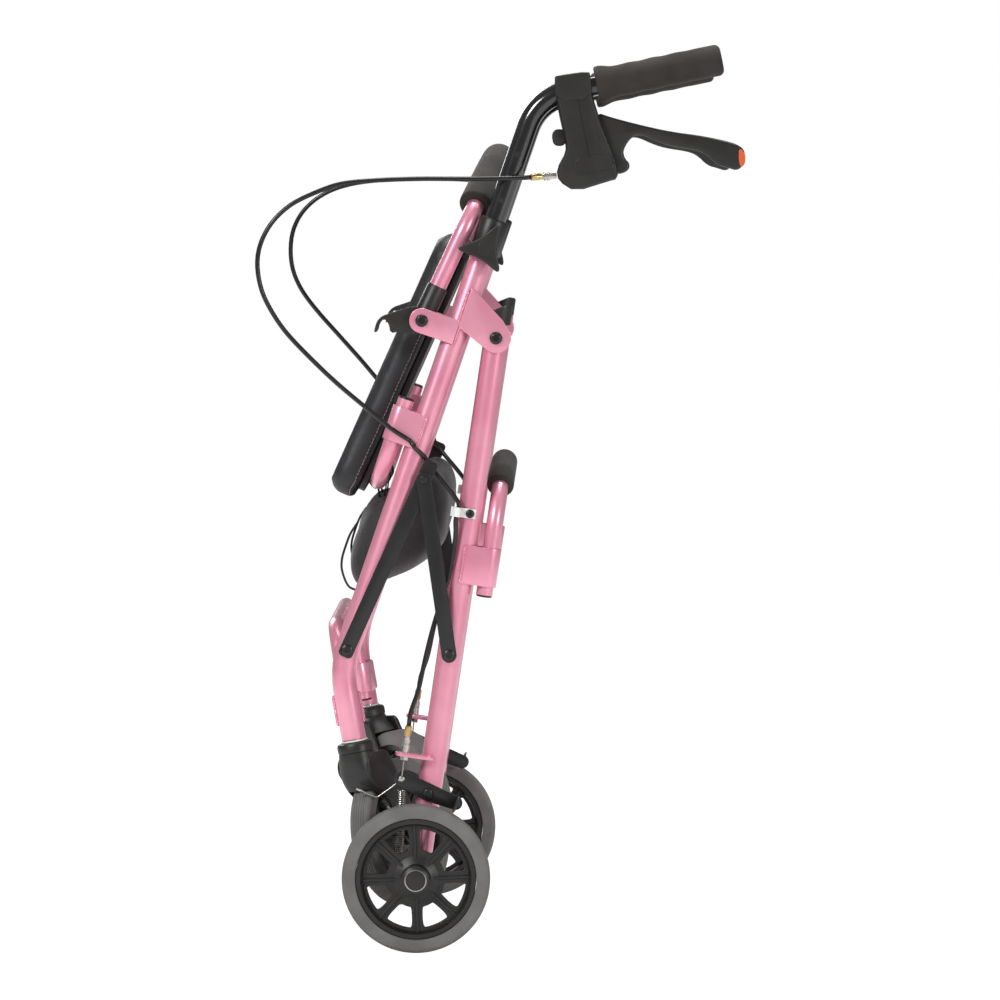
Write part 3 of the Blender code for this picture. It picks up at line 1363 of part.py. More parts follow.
def centre_on_floor():
    """Shift everything along X, so that the middle of the whole object stands over the origin."""
    bpy.context.view_layer.update()
    xs = [(o.matrix_world @ Vector(c)).x for o in PARTS.objects for c in o.bound_box]
    shift = -(min(xs) + max(xs)) / 2
    for thing in PARTS.objects:
        thing.location.x += shift


def main():
    build_front_legs()
    build_rear_legs()
    build_leg_caps()
    build_fold_bolts()
    build_cross_bars()
    build_height_clamps()
    build_handles()
    build_brakes()
    build_rear_wheels()
    build_casters()
    build_rear_brakes()
    build_braces()
    build_backrest()
    build_seat()
    build_bag()
    build_cables()
    centre_on_floor()


clear_scene()
PARTS = collection(OBJECT_NAME)
main()
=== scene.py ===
"""Dress the folded four-wheeled walker: every tube, moulding, wheel, pad and cable over its CAD node.

Metres, +Z up. The user stands at +X and walks towards -X, so the left side frame is at -Y. In the side view
a tube is a Line: s runs up along it and n square to it, towards the front. Side-view points are counted from
the rear axle's point on the floor, and "out" is a distance outwards from the plane of a side frame.
"""

import logging
import math
from dataclasses import dataclass
from enum import Enum

import bmesh
import bpy
import numpy as np
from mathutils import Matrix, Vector


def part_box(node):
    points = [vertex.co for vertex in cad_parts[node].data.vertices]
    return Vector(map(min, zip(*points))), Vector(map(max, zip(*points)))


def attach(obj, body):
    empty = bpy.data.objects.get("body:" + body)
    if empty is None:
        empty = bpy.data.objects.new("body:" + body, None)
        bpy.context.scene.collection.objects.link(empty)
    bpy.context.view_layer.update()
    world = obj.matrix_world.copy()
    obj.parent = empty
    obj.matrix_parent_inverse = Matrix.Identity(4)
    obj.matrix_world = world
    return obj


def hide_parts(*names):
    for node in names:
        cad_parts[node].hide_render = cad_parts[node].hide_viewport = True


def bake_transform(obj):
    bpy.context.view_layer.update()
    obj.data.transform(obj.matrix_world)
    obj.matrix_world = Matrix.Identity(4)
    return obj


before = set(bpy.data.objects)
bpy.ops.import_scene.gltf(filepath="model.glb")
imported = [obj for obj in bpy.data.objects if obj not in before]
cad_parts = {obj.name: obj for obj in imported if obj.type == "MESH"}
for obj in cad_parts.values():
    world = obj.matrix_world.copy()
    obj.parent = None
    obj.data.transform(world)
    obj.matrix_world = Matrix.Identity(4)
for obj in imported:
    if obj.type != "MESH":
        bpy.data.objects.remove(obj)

logging.basicConfig(level=logging.INFO, format="%(message)s")
LOG = logging.getLogger("walker")

Array = np.ndarray
SIDES = ((-1, "left"), (1, "right"))
X_AXIS, Y_AXIS, Z_AXIS = np.eye(3)
GAP = 0.0003
HALF_SPACING = 0.220
LOW_CORNER, HIGH_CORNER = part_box("left_rear_tyre")
REAR_AXLE_X = (LOW_CORNER.x + HIGH_CORNER.x) / 2


class Pattern(Enum):
    """The kinds of surface detail that a finish can have."""

    PAINT = "paint"
    MOULDED = "moulded"
    METAL = "metal"
    FOAM = "foam"
    VINYL = "vinyl"
    WEAVE = "weave"
    RUBBER = "rubber"


def linear(code: str) -> tuple[float, float, float, float]:
    """Turn a hex sRGB colour into a linear one: below 0.04045 a straight line, above it a power of 2.4.

    Args:
        code: six hex digits, two for each of red, green and blue.

    Returns:
        Red, green, blue and an alpha of 1.
    """
    values = np.array([int(code[i:i + 2], 16) / 255 for i in (0, 2, 4)])
    flat = np.where(values <= 0.04045, values / 12.92, ((values + 0.055) / 1.055) ** 2.4)
    return (*map(float, flat), 1.0)


def add_node(tree: bpy.types.NodeTree, kind: str, settings: dict, links: dict | None = None) -> bpy.types.Node:
    """Add one shader node, with its settings and the sockets that feed it.

    Args:
        tree: the material's node tree.
        kind: Blender's name of the node's type.
        settings: values by input name, or by attribute name where there is no such input.
        links: output sockets by the name or number of the input that each feeds.

    Returns:
        The new node.
    """
    made = tree.nodes.new(kind)
    for key, value in settings.items():
        if isinstance(key, int) or key in made.inputs:
            made.inputs[key].default_value = value
        else:
            setattr(made, key, value)
    for key, source in (links or {}).items():
        tree.links.new(source, made.inputs[key])
    return made


@dataclass(frozen=True)
class Finish:
    """One material: two shades that drift into each other, a fine relief, and a gloss that varies.

    grain is the size of the relief's cells in metres and depth is how deep they are.
    """

    name: str
    slot: str
    colour: str
    shade: str
    roughness: float
    pattern: Pattern
    grain: float
    depth: float
    drift: float = 0.03
    metallic: float = 0.0
    coat: float = 0.0
    sheen: float = 0.0

    def material(self) -> bpy.types.Material:
        """Return this finish's material, which is made once."""
        known = bpy.data.materials.get(self.name)
        return known if known else self.build()

    def build(self) -> bpy.types.Material:
        """Make the material's nodes.

        Returns:
            The material.
        """
        made = bpy.data.materials.new(self.name)
        made.use_nodes = True
        tree = made.node_tree
        shader = tree.nodes["Principled BSDF"]
        shader.inputs["Metallic"].default_value = self.metallic
        shader.inputs["Coat Weight"].default_value = self.coat
        shader.inputs["Coat Roughness"].default_value = 0.08
        shader.inputs["Sheen Weight"].default_value = self.sheen
        shader.inputs["IOR"].default_value = 1.5
        where = add_node(tree, "ShaderNodeTexCoord", {}).outputs["Object"]
        slow = add_node(tree, "ShaderNodeTexNoise", {"Scale": 1 / self.drift, "Detail": 3.0}, {"Vector": where})
        relief = self.relief(tree, where)
        blend = add_node(
            tree, "ShaderNodeMapRange", {"From Min": 0.35, "From Max": 0.65}, {"Value": slow.outputs["Fac"]}
        )
        tint = add_node(
            tree, "ShaderNodeMix", {"data_type": "RGBA", 6: linear(self.colour), 7: linear(self.shade)},
            {0: blend.outputs["Result"]},
        )
        gloss = add_node(
            tree, "ShaderNodeMapRange",
            {"To Min": self.roughness * 0.88, "To Max": min(1.0, self.roughness * 1.12)},
            {"Value": slow.outputs["Fac"]},
        )
        bump = add_node(
            tree, "ShaderNodeBump", {"Strength": 1.0, "Distance": self.depth}, {"Height": relief}
        )
        tree.links.new(tint.outputs[2], shader.inputs["Base Color"])
        tree.links.new(gloss.outputs["Result"], shader.inputs["Roughness"])
        tree.links.new(bump.outputs["Normal"], shader.inputs["Normal"])
        return made

    def relief(self, tree: bpy.types.NodeTree, where: bpy.types.NodeSocket) -> bpy.types.NodeSocket:
        """Add the nodes of the fine relief.

        Args:
            tree: the material's node tree.
            where: the socket that gives the place on the piece.

        Returns:
            The socket that gives the height.
        """
        scale = 1 / self.grain
        if self.pattern in (Pattern.FOAM, Pattern.VINYL):
            cells = add_node(
                tree, "ShaderNodeTexVoronoi", {"Scale": scale, "feature": "SMOOTH_F1", "Smoothness": 0.6},
                {"Vector": where},
            )
            return cells.outputs["Distance"]
        if self.pattern is Pattern.WEAVE:
            threads = [
                add_node(
                    tree, "ShaderNodeTexWave",
                    {"Scale": scale / 6.2832, "Distortion": 0.4, "bands_direction": axis}, {"Vector": where},
                )
                for axis in ("Y", "Z")
            ]
            crossed = add_node(
                tree, "ShaderNodeMath", {"operation": "MULTIPLY"},
                {0: threads[0].outputs["Fac"], 1: threads[1].outputs["Fac"]},
            )
            return crossed.outputs[0]
        detail = 6.0 if self.pattern is Pattern.RUBBER else 2.0
        noise = add_node(tree, "ShaderNodeTexNoise", {"Scale": scale, "Detail": detail}, {"Vector": where})
        return noise.outputs["Fac"]


# Two-coat pearl enamel on steel tube: a clear gloss over a colour that goes from pale rose to a deeper pink
PINK_ENAMEL = Finish("pearl_enamel_pink", "pink_paint", "ED9FB5", "E28CA6", 0.33, Pattern.PAINT, 0.0012, 0.000004,
                     drift=0.05, metallic=0.45, coat=0.6)
# Black gloss enamel on the height-adjusted handle tubes: sharp reflections
BLACK_ENAMEL = Finish("gloss_enamel_black", "black_enamel", "141416", "1A1A1D", 0.16, Pattern.PAINT, 0.002, 0.000003,
                      coat=0.8)
# Injection-moulded ABS: warm black with the fine spark texture of the mould
ABS = Finish("moulded_abs_black", "black_plastic", "1A1817", "211F1E", 0.42, Pattern.MOULDED, 0.0005, 0.00003)
# ABS moulded in orange for the lever's tip
ORANGE_ABS = Finish("moulded_abs_orange", "black_plastic", "D65F2E", "CC5526", 0.38, Pattern.MOULDED, 0.0006, 0.00002)
# Powder-coated steel strip: satin black, slightly uneven
BLACK_STEEL = Finish("powder_coated_steel", "black_steel", "100F0F", "171616", 0.38, Pattern.PAINT, 0.0008, 0.00003,
                     coat=0.15)
# Solid polyurethane tyre: matt grey that carries a little dust
TYRE = Finish("polyurethane_tyre_grey", "grey_tyre", "706E6C", "646260", 0.78, Pattern.RUBBER, 0.0012, 0.00008)
# Closed-cell NBR foam: brown black, soft highlight, small open cells on its skin
NBR_FOAM = Finish("nbr_foam", "foam", "2C2621", "231E1A", 0.84, Pattern.FOAM, 0.0011, 0.00016, sheen=0.06)
# Vinyl-coated polyester: charcoal, with a pebbled leather grain and a dull shine
VINYL = Finish("vinyl_charcoal", "vinyl", "29282B", "212023", 0.50, Pattern.VINYL, 0.0016, 0.00012)
# Plain-woven polyester of the bag
BAG_CLOTH = Finish("woven_polyester_dark", "bag_cloth", "2C292A", "221F21", 0.80, Pattern.WEAVE, 0.0011, 0.00018,
                   sheen=0.25)
# Bright zinc plating: a pale yellowish metal with a soft brushed shine
ZINC = Finish("zinc_plated_steel", "zinc", "CBC9C3", "B9B6AF", 0.28, Pattern.METAL, 0.0006, 0.00001, metallic=1.0)
# Brass of the cable ends and ferrules
BRASS = Finish("nickel_brass", "zinc", "C9B27C", "BDA468", 0.28, Pattern.METAL, 0.0008, 0.00001, metallic=1.0)
# Natural nylon 6: white, slightly waxy
NYLON = Finish("nylon_white", "white_nylon", "EDEDEB", "E4E4E1", 0.45, Pattern.MOULDED, 0.0008, 0.00001)
# Bonded nylon thread
THREAD = Finish("nylon_thread_grey", "vinyl", "8E8C8A", "7C7A78", 0.6, Pattern.MOULDED, 0.0004, 0.00001)
# PVC sheath of the brake cables: black and glossy
SHEATH = Finish("pvc_sheath_black", "cable_black", "141414", "1B1B1B", 0.30, Pattern.PAINT, 0.001, 0.00001)


def unit(vectors: Array) -> Array:
    """Scale vectors to a length of 1."""
    return vectors / np.linalg.norm(vectors, axis=-1, keepdims=True)


@dataclass(frozen=True)
class Line:
    """A tube's axis in the side view: a point on it, and its lean from upright with the top to the rear."""

    x: float
    z: float
    lean: float

    def at(self, s: float, n: float = 0.0) -> tuple[float, float]:
        """Return (x, z) of the point s up the axis and n in front of it."""
        sine, cosine = math.sin(self.lean), math.cos(self.lean)
        return self.x + s * sine - n * cosine, self.z + s * cosine + n * sine

    def up(self) -> Array:
        """Return the direction up the axis."""
        return np.array([math.sin(self.lean), 0.0, math.cos(self.lean)])

    def front(self) -> Array:
        """Return the direction square to the axis, towards the front."""
        return np.array([-math.cos(self.lean), 0.0, math.sin(self.lean)])


TUBE_RADIUS = 0.0127
BAR_RADIUS = 0.0085
HANDLE_RADIUS = 0.0109
WHEEL_RADIUS = 0.0762
PLATE = 0.003
PLATE_OUT = TUBE_RADIUS + GAP
BAR_STANDOFF = 0.0265
WHEEL_OUT = 0.0465
TYRE_HALF = 0.0125
# Along the rear leg from the axle: the fold bolt, the brace's screw, the cable's clip and the cable's stop
FOLD_UP = 0.5595
BRACE_UP = 0.2298
CLIP_UP = 0.3770
STOP_UP = 0.1215
# The bare wire's distance in front of the rear leg's axis, and outwards
WIRE_FRONT = 0.0305
WIRE_OUT = 0.0145
# Along the front leg from its gusset: the top, the knee, the brace's screw and the backrest's bolt
LEG_TOP = 0.1080
LEG_KNEE = -0.3735
BRACE_DOWN = -0.3536
BRACKET_DOWN = -0.0078
GUSSET_REACH = 0.0404
MAIN_LEAN = math.radians(19.0)
LEG = Line(0.0, WHEEL_RADIUS, math.radians(8.4))
FOLD_PIVOT = LEG.at(FOLD_UP)
MAIN = Line(
    FOLD_PIVOT[0] - GUSSET_REACH * math.cos(MAIN_LEAN),
    FOLD_PIVOT[1] + GUSSET_REACH * math.sin(MAIN_LEAN),
    MAIN_LEAN,
)
STEM = Line(*MAIN.at(LEG_KNEE), math.radians(-10.0))
STEM_LEG = 0.0755
BACKREST_PIVOT = MAIN.at(BRACKET_DOWN, 0.0376)
# The brake arm's bolt and its front end, in the side view
ARM_PIVOT = (0.0119, WHEEL_RADIUS + 0.0848)
ARM_FRONT = (-0.0155, WHEEL_RADIUS + 0.0994)
BACKREST = Line(*BACKREST_PIVOT, math.radians(25.0))
SEAT_PIVOT = MAIN.at(-0.181, BAR_STANDOFF)
SEAT = Line(*SEAT_PIVOT, math.radians(24.1))
HANDLE_RISE = math.radians(11.6)
KNEE = MAIN.at(0.2474)


def place(point: tuple[float, float], side: int, out: float = 0.0) -> Array:
    """Return the world point at (x, z) on one side, "out" from the plane of that side frame."""
    return np.array([point[0] + REAR_AXLE_X, side * (HALF_SPACING + out), point[1]])


def across_at(point: tuple[float, float], y: float = 0.0) -> Array:
    """Return the world point at (x, z) at one place across the object."""
    return np.array([point[0] + REAR_AXLE_X, y, point[1]])


def outward(side: int) -> Array:
    """Return the direction away from the middle of the object."""
    return np.array([0.0, float(side), 0.0])


@dataclass
class Surface:
    """A mesh under way: points as an (n, 3) array, and faces as lists of point numbers."""

    points: Array
    faces: list[list[int]]

    def __add__(self, other: "Surface") -> "Surface":
        """Return both surfaces in one mesh."""
        start = len(self.points)
        moved = [[i + start for i in face] for face in other.faces]
        return Surface(np.vstack([self.points, other.points]), self.faces + moved)


def joined(surfaces: list[Surface]) -> Surface:
    """Return several surfaces in one mesh.

    Args:
        surfaces: at least one surface.

    Returns:
        The whole.
    """
    whole = surfaces[0]
    for one in surfaces[1:]:
        whole = whole + one
    return whole


def grid(rows: Array, closed: bool = True, looped: bool = False, caps: bool = True) -> Surface:
    """Make a surface from a grid of points: each cell between two rows and two columns is one face.

    Args:
        rows: (rows, columns, 3) points.
        closed: whether the last column joins the first.
        looped: whether the last row joins the first.
        caps: whether the first and last rows are closed with one face each.

    Returns:
        The surface.
    """
    count, width = rows.shape[:2]
    number = np.arange(count * width).reshape(count, width)
    across = np.roll(number, -1, axis=1) if closed else number[:, 1:]
    here = number if closed else number[:, :-1]
    first, second = (here, np.roll(here, -1, axis=0)) if looped else (here[:-1], here[1:])
    next_first, next_second = (across, np.roll(across, -1, axis=0)) if looped else (across[:-1], across[1:])
    faces = np.stack([first, next_first, next_second, second], axis=-1).reshape(-1, 4).tolist()
    if caps and closed and not looped:
        faces += [number[0][::-1].tolist(), number[-1].tolist()]
    return Surface(rows.reshape(-1, 3), faces)


def swept(path: Array, radius: float | Array, across: Array, sides: int = 40, round_end: float = 0.0,
          loop: bool = False) -> Surface:
    """Carry a circle along a path: each ring is centre + radius (cos t N + sin t B), with N and B square to it.

    Args:
        path: (n, 3) points of the axis.
        radius: the radius, or one radius for each point.
        across: a direction that is never along the path, from which N is found.
        sides: points in each ring.
        round_end: the radius of the rounding at both ends.
        loop: whether the path closes on itself.

    Returns:
        A closed tube.
    """
    radii = np.broadcast_to(np.asarray(radius, float), (len(path),)).copy()
    if round_end and not loop:
        turn = np.linspace(math.pi / 2, 0.0, 6)
        inset = round_end * (1 - np.sin(turn))
        first, last = unit(path[1] - path[0]), unit(path[-2] - path[-1])
        head = path[0] + first * inset[:, None]
        tail = path[-1] + last * inset[::-1, None]
        radii = np.concatenate([
            radii[0] - round_end * (1 - np.cos(turn)), radii[1:-1],
            radii[-1] - round_end * (1 - np.cos(turn[::-1])),
        ])
        path = np.vstack([head, path[1:-1], tail])
    ahead = unit(np.roll(path, -1, axis=0) - np.roll(path, 1, axis=0)) if loop else unit(np.gradient(path, axis=0))
    normal = unit(across - (ahead @ across)[:, None] * ahead)
    binormal = np.cross(ahead, normal)
    turn = np.linspace(0.0, 2 * math.pi, sides, endpoint=False)
    ring = np.cos(turn)[:, None] * normal[:, None] + np.sin(turn)[:, None] * binormal[:, None]
    return grid(path[:, None] + radii[:, None, None] * ring, looped=loop)


def rod(start: Array, end: Array, radius: float, across: Array = X_AXIS, sides: int = 24) -> Surface:
    """Make a round rod between two points."""
    return swept(np.stack([start, end]), radius, across, sides)


def revolved(profile: list[tuple[float, float]] | Array, base: Array, axis: Array, sides: int = 64) -> Surface:
    """Turn a profile of (radius, height) about an axis: base + height axis + radius (cos t N + sin t B).

    Args:
        profile: points from one end of the axis to the other, or a ring whose last point repeats its first.
        base: the point of the axis at height 0.
        axis: the axis's direction.
        sides: points in each ring.

    Returns:
        A closed solid of revolution.
    """
    points = np.asarray(profile, float)
    ring_shape = bool(np.allclose(points[0], points[-1]))
    points = points[:-1] if ring_shape else points
    along = unit(np.asarray(axis, float))
    helper = Z_AXIS if abs(along[2]) < 0.9 else X_AXIS
    normal = unit(np.cross(along, helper))
    binormal = np.cross(along, normal)
    turn = np.linspace(0.0, 2 * math.pi, sides, endpoint=False)
    ring = np.cos(turn)[:, None] * normal + np.sin(turn)[:, None] * binormal
    rows = base + points[:, 1, None, None] * along + points[:, 0, None, None] * ring[None]
    return grid(rows, looped=ring_shape, caps=False)


def slab(outline: Array, thickness: float, base: Array, first: Array, second: Array, edge: float = 0.0006) -> Surface:
    """Make a plate: an outline carried through a thickness, with its edges rounded by quarter circles.

    Args:
        outline: (n, 2) points of the outline.
        thickness: the plate's thickness.
        base: the world point of the outline's (0, 0), in the middle of the thickness.
        first: the direction of the outline's first coordinate.
        second: the direction of its second one.
        edge: the radius of the rounded edges.

    Returns:
        A closed plate.
    """
    points = np.asarray(outline, float)
    tangent = np.roll(points, -1, axis=0) - np.roll(points, 1, axis=0)
    area = np.sum(points[:, 0] * np.roll(points[:, 1], -1) - np.roll(points[:, 0], -1) * points[:, 1])
    inward = unit(np.stack([-tangent[:, 1], tangent[:, 0]], axis=1)) * np.sign(area)
    turn = np.linspace(0.0, math.pi / 2, 4)
    inset = np.concatenate([edge * (1 - np.sin(turn)), edge * (1 - np.sin(turn[::-1]))])
    height = thickness / 2 - edge * (1 - np.cos(turn))
    level = np.concatenate([-height, height[::-1]])
    flat = points[None] + inset[:, None, None] * inward[None]
    through = np.cross(first, second)
    rows = base + flat[..., :1] * first + flat[..., 1:] * second + level[:, None, None] * through
    return grid(rows)


def side_slab(outline: Array, side: int, out: float, thickness: float, edge: float = 0.0006) -> Surface:
    """Make a plate in the side view whose inner face is "out" from the plane of the side frame."""
    middle = place((0.0, 0.0), side, out + thickness / 2)
    return slab(outline, thickness, middle, X_AXIS, Z_AXIS, edge)


def eased(outline: Array, times: int = 3) -> Array:
    """Round an outline's corners: each side is cut at a quarter and three quarters, time after time.

    Args:
        outline: (n, 2) points of a closed outline.
        times: how often the corners are cut.

    Returns:
        The rounder outline.
    """
    points = np.asarray(outline, float)
    for _ in range(times):
        ahead = np.roll(points, -1, axis=0)
        points = np.stack([0.75 * points + 0.25 * ahead, 0.25 * points + 0.75 * ahead], axis=1).reshape(-1, 2)
    return points


def circle(centre: tuple[float, float], radius: float, count: int = 48) -> Array:
    """Return the points of a circle: centre + radius (cos t, sin t)."""
    turn = np.linspace(0.0, 2 * math.pi, count, endpoint=False)
    return np.asarray(centre) + radius * np.stack([np.cos(turn), np.sin(turn)], axis=1)


def around(*outlines: Array) -> Array:
    """Return the outline of a sheet pulled tight round several outlines.

    Args:
        outlines: (n, 2) point arrays.

    Returns:
        The convex outline, counter-clockwise.
    """
    points = sorted(map(tuple, np.round(np.vstack(outlines), 7).tolist()))

    def half(ordered: list[tuple[float, float]]) -> list[tuple[float, float]]:
        """Return one side of the outline, keeping only left turns."""
        chain: list[tuple[float, float]] = []
        for p in ordered:
            while len(chain) > 1 and (
                (chain[-1][0] - chain[-2][0]) * (p[1] - chain[-2][1])
                - (chain[-1][1] - chain[-2][1]) * (p[0] - chain[-2][0])
            ) <= 0:
                chain.pop()
            chain.append(p)
        return chain[:-1]

    return np.array(half(points) + half(points[::-1]))


def bent(corners: list[Array], radius: float, steps: int = 14) -> Array:
    """Return a path whose inner corners are arcs of one radius.

    Args:
        corners: the ends and the corners before bending.
        radius: the radius of the bends.
        steps: spans in each arc.

    Returns:
        (n, 3) points.
    """
    path = [np.asarray(corners[0], float)[None]]
    for before, corner, after in zip(corners, corners[1:], corners[2:]):
        back, ahead = unit(before - corner), unit(after - corner)
        half = math.acos(float(back @ ahead)) / 2
        centre = corner + unit(back + ahead) * radius / math.sin(half)
        start = unit(corner + back * radius / math.tan(half) - centre)
        end = unit(corner + ahead * radius / math.tan(half) - centre)
        whole = math.acos(float(start @ end))
        share = np.linspace(0.0, 1.0, steps + 1)[:, None]
        arc = (np.sin((1 - share) * whole) * start + np.sin(share * whole) * end) / math.sin(whole)
        path.append(centre + radius * arc)
    path.append(np.asarray(corners[-1], float)[None])
    return np.vstack(path)


def flowing(points: Array, longest: float) -> Array:
    """Return a smooth curve through all points: between two points a cubic whose slopes follow its neighbours.

    Args:
        points: (n, 3) points of the route.
        longest: the longest span between two points of the result.

    Returns:
        (m, 3) points.
    """
    padded = np.vstack([2 * points[0] - points[1], points, 2 * points[-1] - points[-2]])
    path = []
    for a, b, c, d in zip(padded, padded[1:], padded[2:], padded[3:]):
        count = max(1, round(float(np.linalg.norm(c - b)) / longest))
        t = np.linspace(0.0, 1.0, count, endpoint=False)[:, None]
        path.append(0.5 * (2 * b + (c - a) * t + (2 * a - 5 * b + 4 * c - d) * t**2
                           + (3 * b - a - 3 * c + d) * t**3))
    path.append(points[-1][None])
    return np.vstack(path)


def made_object(name: str, surface: Surface) -> bpy.types.Object:
    """Put a surface into a mesh object, merge its doubles and turn its faces outwards.

    Args:
        name: the object's name.
        surface: the surface.

    Returns:
        The new object, at the origin.
    """
    mesh = bpy.data.meshes.new(name)
    mesh.from_pydata(surface.points.tolist(), [], surface.faces)
    work = bmesh.new()
    work.from_mesh(mesh)
    bmesh.ops.remove_doubles(work, verts=work.verts, dist=0.000002)
    bmesh.ops.recalc_face_normals(work, faces=work.faces)
    work.to_mesh(mesh)
    work.free()
    made = bpy.data.objects.new(name, mesh)
    bpy.context.scene.collection.objects.link(made)
    return made


def settled(target: bpy.types.Object) -> None:
    """Give a piece the mesh that its modifiers make, and remove them."""
    bpy.context.view_layer.update()
    seen = target.evaluated_get(bpy.context.evaluated_depsgraph_get())
    mesh = bpy.data.meshes.new_from_object(seen)
    target.modifiers.clear()
    target.data = mesh


def carved(target: bpy.types.Object, *cutters: Surface) -> bpy.types.Object:
    """Take the cutters' shapes out of a piece.

    Args:
        target: the piece.
        cutters: closed surfaces.

    Returns:
        The same piece with its new mesh.
    """
    tools = [made_object("cutter", one) for one in cutters]
    for tool in tools:
        step = target.modifiers.new("cut", "BOOLEAN")
        step.operation, step.solver, step.object = "DIFFERENCE", "EXACT", tool
    settled(target)
    for tool in tools:
        bpy.data.objects.remove(tool, do_unlink=True)
    return target


def finished(made: bpy.types.Object, finish: Finish, body: str, replaces: tuple[str, ...] = (),
             smooth: float = 35.0) -> bpy.types.Object:
    """Give a piece its finish and its body, and hide the CAD nodes that it stands for.

    Args:
        made: the piece, in its place.
        finish: its material.
        body: the CAD body that it moves with.
        replaces: the CAD nodes that it stands for.
        smooth: edges sharper than this many degrees stay sharp.

    Returns:
        The piece.
    """
    made.data.materials.clear()
    made.data.materials.append(finish.material())
    made.data.shade_smooth()
    made.data.set_sharp_from_angle(angle=math.radians(smooth))
    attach(made, body)
    if replaces:
        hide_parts(*replaces)
    LOG.info("%s: %d faces, on %s", made.name, len(made.data.polygons), body)
    return made


def piece(name: str, surface: Surface, finish: Finish, body: str, *replaces: str,
          smooth: float = 35.0) -> bpy.types.Object:
    """Make a finished piece from a surface, on its body."""
    return finished(made_object(name, surface), finish, body, replaces, smooth)


def dressed(node: str, finish: Finish) -> None:
    """Give a CAD node that stays a better material."""
    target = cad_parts[node]
    target.data.materials.clear()
    target.data.materials.append(finish.material())


def domed(base: Array, axis: Array, radius: float, height: float, sides: int = 48) -> Surface:
    """Make a low dome on a short cylinder, the shape of a button-headed screw or an end cap."""
    turn = np.linspace(0.0, math.pi / 2, 7)
    edge = min(height * 0.7, radius * 0.45)
    rounding = np.stack([radius - edge + edge * np.sin(turn), height - edge + edge * np.cos(turn)], axis=1)
    profile = np.vstack([[(0.0, height)], rounding, [(radius, 0.0), (0.0, 0.0)]])
    return revolved(profile, base, axis, sides)


def socket_head(base: Array, axis: Array, radius: float, height: float) -> Surface:
    """Make a button head with the round recess of its socket: the profile dips in the middle."""
    recess = radius * 0.42
    profile = [
        (0.0, height * 0.45), (recess, height * 0.45), (recess, height * 0.98), (recess + 0.0003, height),
        (radius * 0.72, height * 0.92), (radius * 0.93, height * 0.62), (radius, height * 0.25), (radius, 0.0),
        (0.0, 0.0),
    ]
    return revolved(profile, base, axis, 40)


def hex_nut(base: Array, axis: Array, radius: float, height: float) -> Surface:
    """Make a six-sided nut whose top corners are chamfered."""
    profile = [(0.0, height), (radius * 0.84, height), (radius, height * 0.82), (radius, 0.0), (0.0, 0.0)]
    return revolved(profile, base, axis, 6)


def weld_bead(start: Array, end: Array, radius: float = 0.0016) -> Surface:
    """Make a weld seam: a thin tube whose radius ripples by a sixth of itself every 2 mm along it."""
    length = float(np.linalg.norm(end - start))
    share = np.linspace(0.0, 1.0, max(8, int(length / 0.0004)))
    ripple = radius * (1 + 0.16 * np.sin(2 * math.pi * share * length / 0.002))
    ends = np.sqrt(np.clip(1 - np.abs(2 * share - 1) ** 16, 0.02, 1))
    return swept(start + share[:, None] * (end - start), ripple * ends, np.array([0.13, 0.7, 0.31]), 10)


